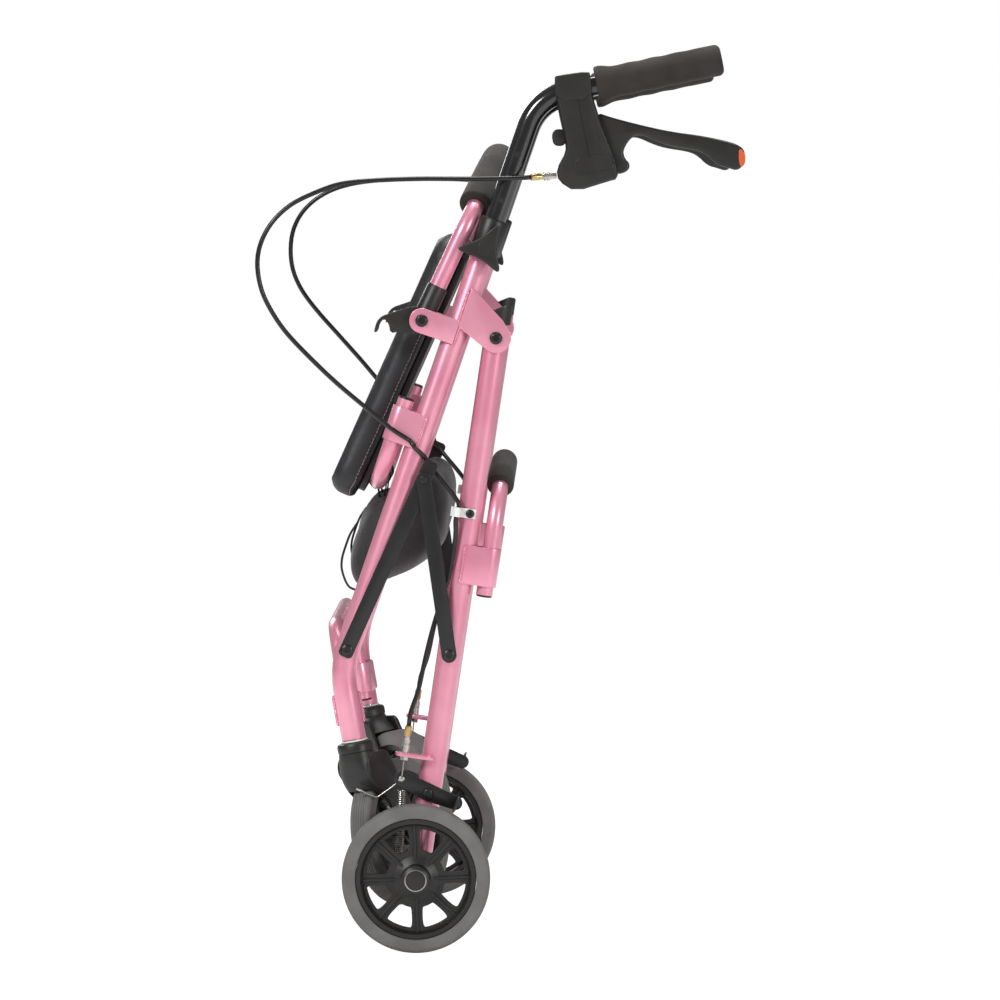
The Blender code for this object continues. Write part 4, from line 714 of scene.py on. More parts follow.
@dataclass
class FrontLegs:
    """The front legs: pearl-painted tubes with a knee, plates for the two bolts, and the bars' wraps."""

    knee_radius: float = 0.105
    gusset_radius: float = 0.0154
    gusset_top: float = 0.039
    gusset_shoulder: float = 0.0177
    bracket_radius: float = 0.0128

    def build(self) -> None:
        """Build both legs, their plates, wraps, welds and screws."""
        for side, word in SIDES:
            corners = [place(MAIN.at(LEG_TOP), side), place(MAIN.at(LEG_KNEE), side),
                       place(STEM.at(-STEM_LEG), side)]
            tube = swept(bent(corners, self.knee_radius, 20), TUBE_RADIUS, outward(1), 48, 0.0012)
            painted = [tube, *self.plates(side), *self.welds(side)]
            painted.append(wrap(place(MAIN.at(-0.135), side), MAIN.up(), MAIN.front(), 0.036, BAR_STANDOFF))
            painted.append(wrap(place(STEM.at(0.016 - STEM_LEG), side), STEM.up(), -outward(side), 0.032, 0.0262))
            piece(f"{word}_front_leg_weldment", joined(painted), PINK_ENAMEL, "front_frame", f"{word}_front_leg")
            piece(f"{word}_front_leg_screws", joined(self.screws(side)), BLACK_STEEL, "front_frame",
                  f"{word}_fold_bolt")

    def plates(self, side: int) -> list[Surface]:
        """Return the gussets of the fold bolt and the brackets of the backrest's bolt.

        Args:
            side: -1 for left, 1 for right.

        Returns:
            Four plates.
        """
        corner = 0.002
        gusset = around(
            circle(MAIN.at(0.0, -GUSSET_REACH), self.gusset_radius),
            circle(MAIN.at(self.gusset_shoulder, -GUSSET_REACH), corner, 16),
            circle(MAIN.at(self.gusset_top, -corner), corner, 16),
            circle(MAIN.at(0.0, -corner), corner, 16),
        )
        low, high = BRACKET_DOWN - self.bracket_radius, BRACKET_DOWN + self.bracket_radius
        bracket = around(circle(BACKREST_PIVOT, self.bracket_radius), np.array([MAIN.at(low), MAIN.at(high)]))
        return [side_slab(outline, side, out, PLATE) for outline in (gusset, bracket)
                for out in (PLATE_OUT - 0.0002, 0.0002 - PLATE_OUT - PLATE)]

    def welds(self, side: int) -> list[Surface]:
        """Return the weld seams along the plates' roots."""
        spans = ((0.002, self.gusset_top - 0.001, 0.0014), (-0.019, 0.003, -0.0012))
        return [
            weld_bead(place(MAIN.at(low, n), side, out), place(MAIN.at(high, n), side, out))
            for low, high, n in spans for out in (-TUBE_RADIUS - 0.0003, TUBE_RADIUS + 0.0003)
        ]

    def screws(self, side: int) -> list[Surface]:
        """Return the heads and nuts of the fold bolt, the backrest's bolt and the brace's screw.

        Args:
            side: -1 for left, 1 for right.

        Returns:
            One surface for each head, nut and shank.
        """
        reach = PLATE_OUT + PLATE
        made = []
        for point, far, head, height in (
            (FOLD_PIVOT, reach + GAP, 0.0065, 0.0035),
            (BACKREST_PIVOT, reach, 0.0065, 0.0030),
            (MAIN.at(BRACE_DOWN), reach + GAP, 0.0058, 0.0022),
        ):
            inner = -far if head > 0.006 else -0.0118
            made += [
                socket_head(place(point, side, far), outward(side), head, height),
                hex_nut(place(point, side, inner), -outward(side), head, 0.0040),
                rod(place(point, side, inner), place(point, side, far), 0.0035),
            ]
        return made


def wrap(base: Array, along: Array, across: Array, length: float, standoff: float) -> Surface:
    """Make the sheet that hugs a bar's end: a U of 2 mm sheet, its legs on the leg tube's flanks.

    Args:
        base: the lower end of the wrap on the leg's axis.
        along: the leg's direction.
        across: the direction from the leg to the bar.
        length: the wrap's length along the leg.
        standoff: the distance from the leg's axis to the bar's.

    Returns:
        A closed sheet.
    """
    flank, inner = TUBE_RADIUS - 0.0004, BAR_RADIUS + GAP
    turn = np.linspace(-math.pi / 2, math.pi / 2, 25)
    loops = []
    for grow in (0.0, 0.002):
        arc = np.stack([standoff + (inner + grow) * np.cos(turn), (inner + grow) * np.sin(turn)], axis=1)
        loops.append(np.vstack([[(0.0, -flank - grow)], arc, [(0.0, flank + grow)]]))
    outline = np.vstack([loops[0], loops[1][::-1]])
    sideways = np.cross(along, across)
    middle = base + along * length / 2
    sheet = slab(outline, length, middle, across, -sideways, 0.0004)
    beads = [
        weld_bead(root, root + along * length, 0.0018)
        for root in (base + sign * sideways * (flank + 0.0012) for sign in (-1, 1))
    ]
    return joined([sheet, *beads])


@dataclass
class RearLegs:
    """The rear legs with the rear bar's wraps, the cable stops, their screws and their slanted caps."""

    foot: float = 0.031
    above: float = 0.015
    cap_height: float = 0.0345
    fold_open: float = math.radians(49.3)

    def build(self) -> None:
        """Build both legs and what is fixed to them."""
        for side, word in SIDES:
            ends = np.stack([place(LEG.at(s), side) for s in np.linspace(-self.foot, FOLD_UP + self.above, 8)])
            parts = [swept(ends, TUBE_RADIUS, outward(1), 48, 0.0012)]
            parts.append(wrap(place(LEG.at(FOLD_UP - 0.255), side), LEG.up(), -LEG.front(), 0.040, BAR_STANDOFF))
            parts.append(self.cable_stop(side))
            piece(f"{word}_rear_leg_weldment", joined(parts), PINK_ENAMEL, "rear_frame", f"{word}_rear_leg")
            piece(f"{word}_rear_leg_screws", joined(self.screws(side)), BLACK_STEEL, "rear_frame")
            self.caps(side, word)

    def cable_stop(self, side: int) -> Surface:
        """Return the strip in front of the leg that stops the cable's sheath."""
        outline = around(circle((0.008, 0.0145), 0.008), circle((0.032, 0.0145), 0.008))
        base = place(LEG.at(STOP_UP), side)
        return slab(outline, 0.004, base, LEG.front(), outward(side), 0.0005)

    def screws(self, side: int) -> list[Surface]:
        """Return the heads of the brake arm's bolt, the brace's screw and the clip's screw."""
        reach = PLATE_OUT + PLATE + GAP
        spots = (
            (ARM_PIVOT, reach, 0.0055, 0.003),
            (LEG.at(BRACE_UP), reach + PLATE + GAP, 0.0058, 0.0022),
            (LEG.at(CLIP_UP), PLATE_OUT + 0.0018 + GAP, 0.0045, 0.0025),
        )
        made = [socket_head(place(point, side, far), outward(side), head, height)
                for point, far, head, height in spots]
        made += [rod(place(point, side, 0.009), place(point, side, far), 0.0029) for point, far, _, _ in spots]
        made.append(hex_nut(place(spots[1][0], side, -0.0118), -outward(side), 0.0058, 0.0035))
        return made

    def caps(self, side: int, word: str) -> None:
        """Build the leg's top cap, cut off slantwise, and the plug in its foot.

        Args:
            side: -1 for left, 1 for right.
            word: the side's name.
        """
        start = FOLD_UP + self.above
        tall = self.cap_height - self.above
        base = place(LEG.at(start), side)
        profile = [(0.0, tall), (TUBE_RADIUS - 0.0015, tall), (TUBE_RADIUS, tall - 0.0015), (TUBE_RADIUS, GAP),
                   (0.0105, GAP), (0.0105, -0.008), (0.0, -0.008)]
        cap = revolved(np.array(profile), base, LEG.up(), 48)
        angle = math.pi - MAIN.lean - self.fold_open
        normal = np.array([math.cos(angle), 0.0, math.sin(angle)])
        reach = GUSSET_REACH - TUBE_RADIUS - GAP
        past = np.clip((cap.points - place(FOLD_PIVOT, side)) @ normal - reach, 0.0, None)
        cap.points = cap.points - (past / float(LEG.up() @ normal))[:, None] * LEG.up()
        piece(f"{word}_leg_top_cap", cap, ABS, "rear_frame", f"{word}_leg_cap")
        foot = place(LEG.at(-self.foot), side)
        piece(f"{word}_leg_foot_plug", domed(foot, -LEG.up(), 0.0122, 0.0022), ABS, "rear_frame")


@dataclass
class CrossBars:
    """The three U-shaped bars between the side frames, their end plugs and the rear bar's foam."""

    bend: float = 0.045
    rear_bend: float = 0.055
    foam_radius: float = 0.014

    def path(self, end: tuple[float, float], turn: tuple[float, float], inset: float, bend: float) -> Array:
        """Return a U-shaped bar's axis, whose corners before bending are at "turn"."""
        corners = [place(end, -1, -inset), place(turn, -1, -inset), place(turn, 1, -inset), place(end, 1, -inset)]
        return bent(corners, bend, 18)

    def build(self) -> None:
        """Build the bars with a plug in each end, and the foam sleeve."""
        rear = self.path(LEG.at(0.2955, -BAR_STANDOFF), LEG.at(0.4170, -BAR_STANDOFF), 0.0, self.rear_bend)
        bars = {
            "upper": (self.path(MAIN.at(-0.090, BAR_STANDOFF), SEAT_PIVOT, 0.0, self.bend), MAIN, "front_frame"),
            "lower": (self.path(STEM.at(0.009 - STEM_LEG), STEM.at(0.1153 - STEM_LEG), 0.0262, self.bend), STEM,
                      "front_frame"),
            "rear": (rear, LEG, "rear_frame"),
        }
        for word, (path, line, body) in bars.items():
            piece(f"{word}_bar_tube", swept(path, BAR_RADIUS, line.front(), 40), PINK_ENAMEL, body,
                  f"{word}_cross_bar")
            plugs = [domed(path[i], unit(path[i] - path[j]), BAR_RADIUS - 0.0004, 0.0022)
                     for i, j in ((0, 1), (-1, -2))]
            piece(f"{word}_bar_end_plugs", joined(plugs), ABS, body)
        sleeve = swept(rear[12:-12], self.foam_radius, LEG.front(), 48, 0.0035)
        piece("rear_bar_sleeve", sleeve, NBR_FOAM, "rear_frame", "rear_bar_foam")


@dataclass
class HeightClamps:
    """Collars on top of the front legs, each with a boss and its three-lobed knob."""

    radius: float = 0.0155
    low: float = 0.072
    high: float = 0.115
    knob_s: float = 0.0835
    boss_radius: float = 0.0095
    boss_out: float = 0.0195
    knob_tip: float = 0.0345
    knob_waist: float = 0.0104
    knob_thickness: float = 0.0120

    def build(self) -> None:
        """Build both clamps."""
        for side, word in SIDES:
            base = place(MAIN.at(0.0), side)
            r = self.radius
            outer = [(HANDLE_RADIUS + GAP, self.high), (r - 0.0022, self.high), (r - 0.0007, self.high - 0.0008),
                     (r, self.high - 0.0024), (r, self.low + 0.0014), (r - 0.0008, self.low),
                     (TUBE_RADIUS + GAP, self.low), (TUBE_RADIUS + GAP, 0.1085), (HANDLE_RADIUS + GAP, 0.1085)]
            collar = revolved(np.array([*outer, outer[0]]), base, MAIN.up(), 64)
            foot = place(MAIN.at(self.knob_s), side)
            boss = revolved([(0.0034, self.boss_out), (self.boss_radius - 0.0008, self.boss_out),
                             (self.boss_radius, self.boss_out - 0.0008), (self.boss_radius + 0.0008, 0.0135),
                             (0.0034, 0.0135), (0.0034, self.boss_out)], foot, outward(side), 48)
            piece(f"{word}_collar", joined([collar, boss]), ABS, "front_frame", f"{word}_clamp_collar")
            piece(f"{word}_knob", joined(self.knob(side, foot)), ABS, f"{word}_knob", f"{word}_height_knob")

    def knob(self, side: int, foot: Array) -> list[Surface]:
        """Return the knob: three arms with hollow sides between them, with a dished cap and a stud.

        The tip and the waist are the corners' distances before the corners are cut.

        Args:
            side: -1 for left, 1 for right.
            foot: the stud's axis at the leg's axis.

        Returns:
            The body, the cap and the stud.
        """
        turn = np.linspace(0.0, 2 * math.pi, 6, endpoint=False)
        reach = np.tile([self.knob_waist, self.knob_tip], 3)
        outline = eased(np.stack([reach * np.cos(turn), reach * np.sin(turn)], axis=1), 4)
        middle = foot + outward(side) * (self.boss_out + GAP + self.knob_thickness / 2)
        body = slab(outline, self.knob_thickness, middle, X_AXIS, Z_AXIS, 0.0013)
        face = foot + outward(side) * (self.boss_out + self.knob_thickness - 0.0001)
        cap = domed(face, outward(side), 0.0078, 0.0008)
        stud = rod(foot + outward(side) * 0.0115, foot + outward(side) * 0.026, 0.003)
        return [body, cap, stud]


@dataclass
class Handles:
    """The bent handle tubes with their row of height holes, drawn as discs of painted shade, and the foam grips."""

    inside: float = 0.160
    bend: float = 0.055
    grip_start: float = 0.0620
    grip_end: float = 0.1935
    grip_radius: float = 0.01625
    flare: float = 0.01925

    def path(self, side: int, steps: int = 16) -> Array:
        """Return the axis of a handle tube, from inside the front leg to the end of the grip."""
        end = self.on_grip(self.grip_end - 0.0043)
        corners = [place(MAIN.at(LEG_TOP - self.inside), side), place(KNEE, side), place(end, side)]
        return bent(corners, self.bend, steps)

    def on_grip(self, along: float) -> tuple[float, float]:
        """Return (x, z) of a point on the grip's axis, from the knee."""
        return KNEE[0] + along * math.cos(HANDLE_RISE), KNEE[1] + along * math.sin(HANDLE_RISE)

    def build(self) -> None:
        """Build both handles."""
        axis = np.array([math.cos(HANDLE_RISE), 0.0, math.sin(HANDLE_RISE)])
        length = self.grip_end - self.grip_start
        for side, word in SIDES:
            body = f"{word}_handle"
            piece(f"{word}_handle_bend", swept(self.path(side), HANDLE_RADIUS, outward(1), 48), BLACK_ENAMEL, body,
                  f"{word}_handle_tube")
            # The height holes are not cut through the tube: each is a thin matte black disc on its face, painted shade
            # for the hole's dark inside.
            hole_shade_discs = [
                revolved([(0.0, 0.0001), (0.0030, 0.0001), (0.0034, -0.0005), (0.0, -0.0005)],
                         place(MAIN.at(0.1357 + 0.025 * i), side, sign * HANDLE_RADIUS), sign * outward(side), 32)
                for i in range(3) for sign in (-1, 1)
            ]
            piece(f"{word}_height_hole_shade", joined(hole_shade_discs), ABS, body)
            r, f = self.grip_radius, self.flare
            turn = np.linspace(0.0, math.pi / 2, 9)
            tip = np.stack([r - 0.006 + 0.006 * np.cos(turn), length - 0.006 + 0.006 * np.sin(turn)], axis=1)
            swell = np.linspace(0.0, 1.0, 60)
            share = np.clip(swell * 7.5, 0.0, 1.0)
            ease = f + (r - f) * (3 * share**2 - 2 * share**3)
            wave = 0.0004 * np.sin(2 * math.pi * swell * 4.5) * np.sin(math.pi * swell)
            flare = np.stack([ease + wave, 0.0045 + 0.1130 * swell], axis=1)
            profile = np.vstack([[(HANDLE_RADIUS + GAP, 0.0), (f - 0.002, 0.0), (f - 0.0004, 0.0012)], flare,
                                 tip, [(0.0, length), (0.0, length - 0.0040), (HANDLE_RADIUS + GAP, length - 0.0040),
                                       (HANDLE_RADIUS + GAP, 0.0)]])
            grip = revolved(profile, place(self.on_grip(self.grip_start), side), axis, 64)
            piece(f"{word}_foam_grip", grip, NBR_FOAM, body, f"{word}_grip")


@dataclass
class HandBrakes:
    """Brake housings clamped on the handle tubes, with levers, orange tips, latches and cable ferrules."""

    housing_width: float = 0.034
    lever_width: float = 0.014
    lever_pivot: tuple[float, float] = (0.0628, -0.0437)
    cable_end: tuple[float, float] = (-0.0063, -0.0820)
    cable_out: float = 0.012
    housing: tuple[tuple[float, float], ...] = (
        (0.0181, 0.0192), (0.0535, 0.0257), (0.0585, -0.0089), (0.0831, -0.0695), (0.0824, -0.0839),
        (0.0737, -0.0861), (0.0390, -0.0970), (0.0217, -0.0861), (0.0195, -0.0738), (0.0297, -0.0551),
        (0.0290, -0.0435), (0.0210, -0.0089), (0.0181, 0.0114),
    )
    lever: tuple[tuple[float, float], ...] = (
        (0.0600, -0.0150), (0.0740, -0.0200), (0.1000, -0.0270), (0.1350, -0.0350), (0.1700, -0.0395),
        (0.2000, -0.0460), (0.2107, -0.0515), (0.2137, -0.0580), (0.2122, -0.0695), (0.2050, -0.0755),
        (0.1963, -0.0724), (0.1848, -0.0695), (0.1733, -0.0580), (0.1616, -0.0537), (0.1401, -0.0508),
        (0.1257, -0.0465), (0.1068, -0.0377), (0.0968, -0.0406), (0.0881, -0.0537), (0.0895, -0.0623),
        (0.0953, -0.0681), (0.0939, -0.0753), (0.0838, -0.0795), (0.0700, -0.0760), (0.0560, -0.0600),
        (0.0520, -0.0437),
    )

    def from_knee(self, offset: tuple[float, float]) -> tuple[float, float]:
        """Return (x, z) of a point given from the handle's knee."""
        return KNEE[0] + offset[0], KNEE[1] + offset[1]

    def exit(self, side: int) -> Array:
        """Return the direction from the cable's end into the housing."""
        return unit(np.array([0.978, -0.2 * side, 0.06]))

    def build(self, handles: Handles) -> None:
        """Build both brakes on their handles.

        Args:
            handles: the handles that carry them.
        """
        for side, word in SIDES:
            body = f"{word}_handle"
            outline = eased(np.array([self.from_knee(p) for p in self.housing]), 1)
            shell = made_object(f"{word}_brake_shell", side_slab(outline, side, -self.housing_width / 2,
                                                                 self.housing_width, 0.0035))
            room = swept(handles.path(side, 10), HANDLE_RADIUS + GAP, outward(1), 32)
            slot = np.array([self.from_knee(p) for p in ((0.0460, -0.1100), (0.1200, -0.1100), (0.1200, -0.0080),
                                                         (0.0460, -0.0080))])
            gap = side_slab(slot, side, -self.lever_width / 2 - GAP, self.lever_width + 2 * GAP, 0.0)
            seam = side_slab(self.seam(), side, self.housing_width / 2 - 0.0006, 0.0012, 0.0)
            finished(carved(shell, room, gap, seam), ABS, body, (f"{word}_brake_housing",), 30.0)
            piece(f"{word}_housing_recess", self.recess(side), ABS, body)
            self.build_band(side, word, room)
            pin = self.from_knee(self.lever_pivot)
            piece(f"{word}_lever_pin", joined([
                domed(place(pin, side, sign * (self.housing_width / 2 - 0.0006)), sign * outward(side), 0.0034, 0.0009)
                for sign in (-1, 1)
            ] + [rod(place(pin, side, -0.011), place(pin, side, 0.011), 0.0025)]), ABS, body)
            latch = eased(np.array([self.from_knee(p) for p in ((0.0152, -0.0480), (0.0300, -0.0480),
                                                                (0.0300, -0.0327), (0.0152, -0.0327))]), 2)
            piece(f"{word}_latch", side_slab(latch, side, -0.007, 0.014, 0.001), ABS, body)
            start = place(self.from_knee(self.cable_end), side, self.cable_out)
            sleeve = [(0.0, 0.0), (0.0031, 0.0), (0.0035, 0.0004), (0.0035, 0.0085), (0.0030, 0.0095), (0.0030, 0.0120),
                      (0.0, 0.0120)]
            screw = [(0.0, 0.0118), (0.0030, 0.0118), (0.0030, 0.0135), (0.0042, 0.0135), (0.0042, 0.0152),
                     (0.0036, 0.0156), (0.0036, 0.0166), (0.0042, 0.0170), (0.0042, 0.0190), (0.0030, 0.0190),
                     (0.0030, 0.0260), (0.0, 0.0260)]
            piece(f"{word}_cable_ferrule", revolved(sleeve, start, self.exit(side), 40), BRASS, body)
            piece(f"{word}_cable_screw", revolved(screw, start, self.exit(side), 40), ZINC, body)
            self.build_lever(side, word)

    def seam(self) -> Array:
        """Return the outline of the fine parting line across the housing's face."""
        start, end = np.array(self.from_knee((0.0405, 0.0030))), np.array(self.from_knee((0.0535, -0.0606)))
        across = unit(np.array([-(end - start)[1], (end - start)[0]])) * 0.0004
        return np.array([start - across, end - across, end + across, start + across])

    def build_band(self, side: int, word: str, room: Surface) -> None:
        """Build the clamp's band over the top of the housing, a little proud of its faces.

        Args:
            side: -1 for left, 1 for right.
            word: the side's name.
            room: the space of the handle tube.
        """
        band = eased(np.array([self.from_knee(p) for p in (
            (0.0172, 0.0200), (0.0205, 0.0222), (0.0530, 0.0268), (0.0546, 0.0220), (0.0572, -0.0015),
            (0.0196, -0.0050),
        )]), 1)
        width = self.housing_width + 0.0016
        shell = made_object(f"{word}_clamp_band", side_slab(band, side, -width / 2, width, 0.0015))
        finished(carved(shell, room), ABS, f"{word}_handle", (), 30.0)

    def recess(self, side: int) -> Surface:
        """Return the plain oval on the housing's outer face: a low rim round two half circles."""
        turn = np.linspace(0.0, 2 * math.pi, 72, endpoint=False)
        tilt = math.radians(8.0)
        radius, reach = 0.0084, 0.0118
        a, b = radius * np.cos(turn) + reach * np.sign(np.cos(turn)), radius * np.sin(turn)
        centre = self.from_knee((0.0590, -0.0686))
        x = centre[0] + REAR_AXLE_X + a * math.cos(tilt) - b * math.sin(tilt)
        z = centre[1] + a * math.sin(tilt) + b * math.cos(tilt)
        path = np.stack([x, np.full_like(x, side * (HALF_SPACING + self.housing_width / 2)), z], axis=1)
        return swept(path, 0.0007, outward(1), 12, loop=True)

    def build_lever(self, side: int, word: str) -> None:
        """Build the lever and its orange tip.

        Args:
            side: -1 for left, 1 for right.
            word: the side's name.
        """
        outline = eased(np.array([self.from_knee(p) for p in self.lever]), 2)
        blade = side_slab(outline, side, -self.lever_width / 2, self.lever_width, 0.0028)
        lever = made_object(f"{word}_lever_blade", blade)
        pin = self.from_knee(self.lever_pivot)
        hole = rod(place(pin, side, -0.02), place(pin, side, 0.02), 0.0025 + GAP)
        finished(carved(lever, hole), ABS, f"{word}_lever", (f"{word}_brake_lever",))
        tip = eased(np.array([self.from_knee(p) for p in ((0.2068, -0.0512), (0.2138, -0.0570), (0.2134, -0.0690),
                                                          (0.2085, -0.0722), (0.2062, -0.0640))]), 2)
        piece(f"{word}_lever_tip", side_slab(tip, side, -0.0074, 0.0148, 0.0012), ORANGE_ABS, f"{word}_lever")


@dataclass
class Wheel:
    """One wheel about the Y axis of its matrix: grooved tyre, ring, hub and a web with eight ribbed spokes."""

    name: str
    body: str
    matrix: Array
    hub_width: float
    tyre_half: float = TYRE_HALF
    rim_radius: float = 0.0619
    rim_depth: float = 0.0065
    rim_half: float = 0.011
    hub_radius: float = 0.0153
    web: float = 0.006
    spokes: int = 8
    spoke_width: float = 0.0112
    window_inner: float = 0.0300
    window_outer: float = 0.0512
    spoke_turn: float = math.radians(2.0)

    def moved(self, surface: Surface) -> Surface:
        """Return a surface of the wheel's own frame in its place."""
        rotation, offset = self.matrix[:3, :3], self.matrix[:3, 3]
        return Surface(surface.points @ rotation.T + offset, surface.faces)

    def build(self) -> None:
        """Build the tyre and the rim."""
        piece(f"{self.name}_tread", self.moved(self.tyre()), TYRE, self.body, f"{self.name}_tyre")
        rim = joined([self.moved(one) for one in self.rim()])
        piece(f"{self.name}_spokes", rim, ABS, self.body, f"{self.name}_rim", smooth=40.0)
        half = self.web / 2
        disc = [(0.0150, half), (0.0565, half), (0.0565, -half), (0.0150, -half), (0.0150, half)]
        web = made_object(f"{self.name}_web", self.moved(revolved(disc, np.zeros(3), Y_AXIS, 96)))
        finished(carved(web, self.moved(self.windows())), ABS, self.body, (), 30.0)

    def windows(self) -> Surface:
        """Return the openings between the spokes, each a part of a ring whose corners are cut round."""
        cuts = []
        for index in range(self.spokes):
            start = 2 * math.pi * index / self.spokes + self.spoke_turn
            arcs = []
            for radius in (self.window_inner, self.window_outer):
                margin = math.asin(self.spoke_width / 2 / radius)
                turn = np.linspace(start + margin, start + 2 * math.pi / self.spokes - margin, 6)
                arcs.append(radius * np.stack([np.cos(turn), np.sin(turn)], axis=1))
            outline = eased(np.vstack([arcs[0], arcs[1][::-1]]), 2)
            cuts.append(slab(outline, 0.02, np.zeros(3), X_AXIS, Z_AXIS, 0.0))
        return joined(cuts)

    def tyre(self) -> Surface:
        """Return the tyre: round shoulders of 5 mm, and five grooves whose depth is a raised cosine."""
        outer, half, shoulder, inner = WHEEL_RADIUS, self.tyre_half, 0.005, self.rim_radius + GAP
        turn = np.linspace(0.0, math.pi / 2, 9)
        left = np.stack([outer - shoulder * (1 - np.sin(turn)), half - shoulder * (1 - np.cos(turn))], axis=1)
        across = np.linspace(half - shoulder, shoulder - half, 61)[1:-1]
        wave = np.clip(np.cos(2 * math.pi * across / 0.0030) - 0.35, 0.0, None) / 0.65
        crown = np.stack([outer - 0.0007 * wave, across], axis=1)
        right = left[::-1] * np.array([1.0, -1.0])
        bead = np.array([(inner, half - 0.0008), (inner + 0.0008, half)])
        profile = np.vstack([bead, left, crown, right, bead[::-1] * np.array([1.0, -1.0]), bead[:1]])
        return revolved(profile, np.zeros(3), Y_AXIS, 128)

    def rim(self) -> list[Surface]:
        """Return the ring, the hub and the rib along the middle of each spoke."""
        outer, inner, half = self.rim_radius, self.rim_radius - self.rim_depth, self.rim_half
        axis, origin = Y_AXIS, np.zeros(3)
        ring = [(outer, half - 0.0006), (outer - 0.0006, half), (inner + 0.0016, half), (inner + 0.0006, half - 0.0014),
                (inner - 0.0012, 0.0035), (inner - 0.0012, -0.0035), (inner + 0.0006, 0.0014 - half),
                (inner + 0.0016, -half), (outer - 0.0006, -half), (outer, 0.0006 - half), (outer, half - 0.0006)]
        width, radius, bore = self.hub_width / 2, self.hub_radius, 0.0043
        hub = [(bore, width), (radius - 0.0026, width), (radius - 0.0008, width - 0.0012), (radius, 0.0065),
               (0.0190, 0.0046), (0.0232, 0.003), (0.0232, -0.003), (0.0190, -0.0046), (radius, -0.0065),
               (radius - 0.0008, 0.0012 - width), (radius - 0.0026, -width), (bore, -width), (bore, width)]
        made = [revolved(ring, origin, axis, 128), revolved(hub, origin, axis, 96)]
        for index in range(self.spokes):
            angle = 2 * math.pi * index / self.spokes + self.spoke_turn
            first = np.array([math.cos(angle), 0.0, math.sin(angle)])
            second = np.array([-math.sin(angle), 0.0, math.cos(angle)])
            rib = np.array([(0.0150, -0.0015), (inner + 0.001, -0.0015), (inner + 0.001, 0.0015), (0.0150, 0.0015)])
            made.append(slab(rib, 2 * 0.0050, origin, first, second, 0.0007))
        return made


@dataclass
class RearWheels:
    """The rear wheels with their hub caps, axles and brake springs."""

    out: float = WHEEL_OUT
    hub_width: float = 0.036

    def build(self) -> None:
        """Build both wheels and the axle of each."""
        hub_in, hub_out = self.out - self.hub_width / 2, self.out + self.hub_width / 2
        for side, word in SIDES:
            matrix = np.eye(4)
            matrix[:3, 3] = place(LEG.at(0.0), side, self.out)
            Wheel(f"{word}_rear", f"{word}_rear_wheel", matrix, self.hub_width).build()
            hub = place(LEG.at(0.0), side, hub_out)
            cap = [(0.0, 0.0060), (0.0095, 0.0060), (0.0125, 0.0054), (0.0145, 0.0036), (0.0145, GAP), (0.008, GAP),
                   (0.008, 0.0043), (0.0, 0.0043)]
            piece(f"{word}_hub_cover", revolved(cap, hub, outward(side), 64), ABS, f"{word}_rear_wheel",
                  f"{word}_hub_cap")
            shine = [(0.0100, 0.0058), (0.0104, 0.0064), (0.0112, 0.0062), (0.0113, 0.0052), (0.0100, 0.0052),
                     (0.0100, 0.0058)]
            piece(f"{word}_hub_ring", revolved(shine, hub, outward(side), 64), ZINC, f"{word}_rear_wheel")
            self.build_axle(side, word, hub_in, hub_out)

    def build_axle(self, side: int, word: str, hub_in: float, hub_out: float) -> None:
        """Build an axle with its spacer and nut, the spring's anchor plate and the coiled spring.

        Args:
            side: -1 for left, 1 for right.
            word: the side's name.
            hub_in: where the hub begins, outwards from the side frame.
            hub_out: where it ends.
        """
        centre = place(LEG.at(0.0), side)
        profile = [(0.0, hub_out + 0.004), (0.0056, hub_out + 0.004), (0.0065, hub_out + 0.0032),
                   (0.0065, hub_out + GAP), (0.004, hub_out + GAP), (0.004, hub_in - GAP), (0.007, hub_in - GAP),
                   (0.007, 0.0158),
                   (0.004, 0.0158), (0.004, -0.013), (0.0065, -0.013), (0.0065, -0.0172), (0.0, -0.0172)]
        anchor_end = self.spring_end(side)
        anchor = around(circle(LEG.at(0.0), 0.0095),
                        circle((anchor_end[0] - REAR_AXLE_X, anchor_end[2] - 0.0055), 0.0075))
        parts = [revolved(profile, centre, outward(side), 40), side_slab(anchor, side, PLATE_OUT, PLATE, 0.0005),
                 *self.spring(side)]
        piece(f"{word}_axle_and_spring", joined(parts), ZINC, "rear_frame", f"{word}_rear_axle")

    def spring_top(self, side: int) -> Array:
        """Return the spring's upper end, under the brake arm's front."""
        return place(ARM_FRONT, side, WIRE_OUT) - np.array([0.0, 0.0, 0.00825 + 0.0036])

    def spring_end(self, side: int) -> Array:
        """Return the spring's lower end."""
        return self.spring_top(side) - np.array([0.0020, 0.0, 0.068])

    def spring(self, side: int) -> list[Surface]:
        """Return the coils: a helix of 34 turns about the spring's axis.

        Args:
            side: -1 for left, 1 for right.

        Returns:
            The helix.
        """
        top, end = self.spring_top(side), self.spring_end(side)
        axis = unit(top - end)
        first = unit(np.cross(axis, Y_AXIS))
        second = np.cross(axis, first)
        turns, radius = 34, 0.0040
        t = np.linspace(0.0, 1.0, turns * 18)[:, None]
        angle = 2 * math.pi * turns * t
        path = end + (top - end) * t + radius * (np.cos(angle) * first + np.sin(angle) * second)
        return [swept(path, 0.0006, axis, 8)]


def caster_matrix(side: int) -> Array:
    """Return the frame of one caster: origin at the leg's end, X along the trail, Z up the stem.

    Args:
        side: -1 for left, 1 for right.

    Returns:
        A 4 by 4 matrix.
    """
    up, rear, swivel = STEM.up(), -STEM.front(), math.radians(58.0)
    trail = math.cos(swivel) * rear - math.sin(swivel) * outward(side)
    matrix = np.eye(4)
    matrix[:3, 0], matrix[:3, 1], matrix[:3, 2] = trail, np.cross(up, trail), up
    matrix[:3, 3] = place(STEM.at(-STEM_LEG), side)
    return matrix


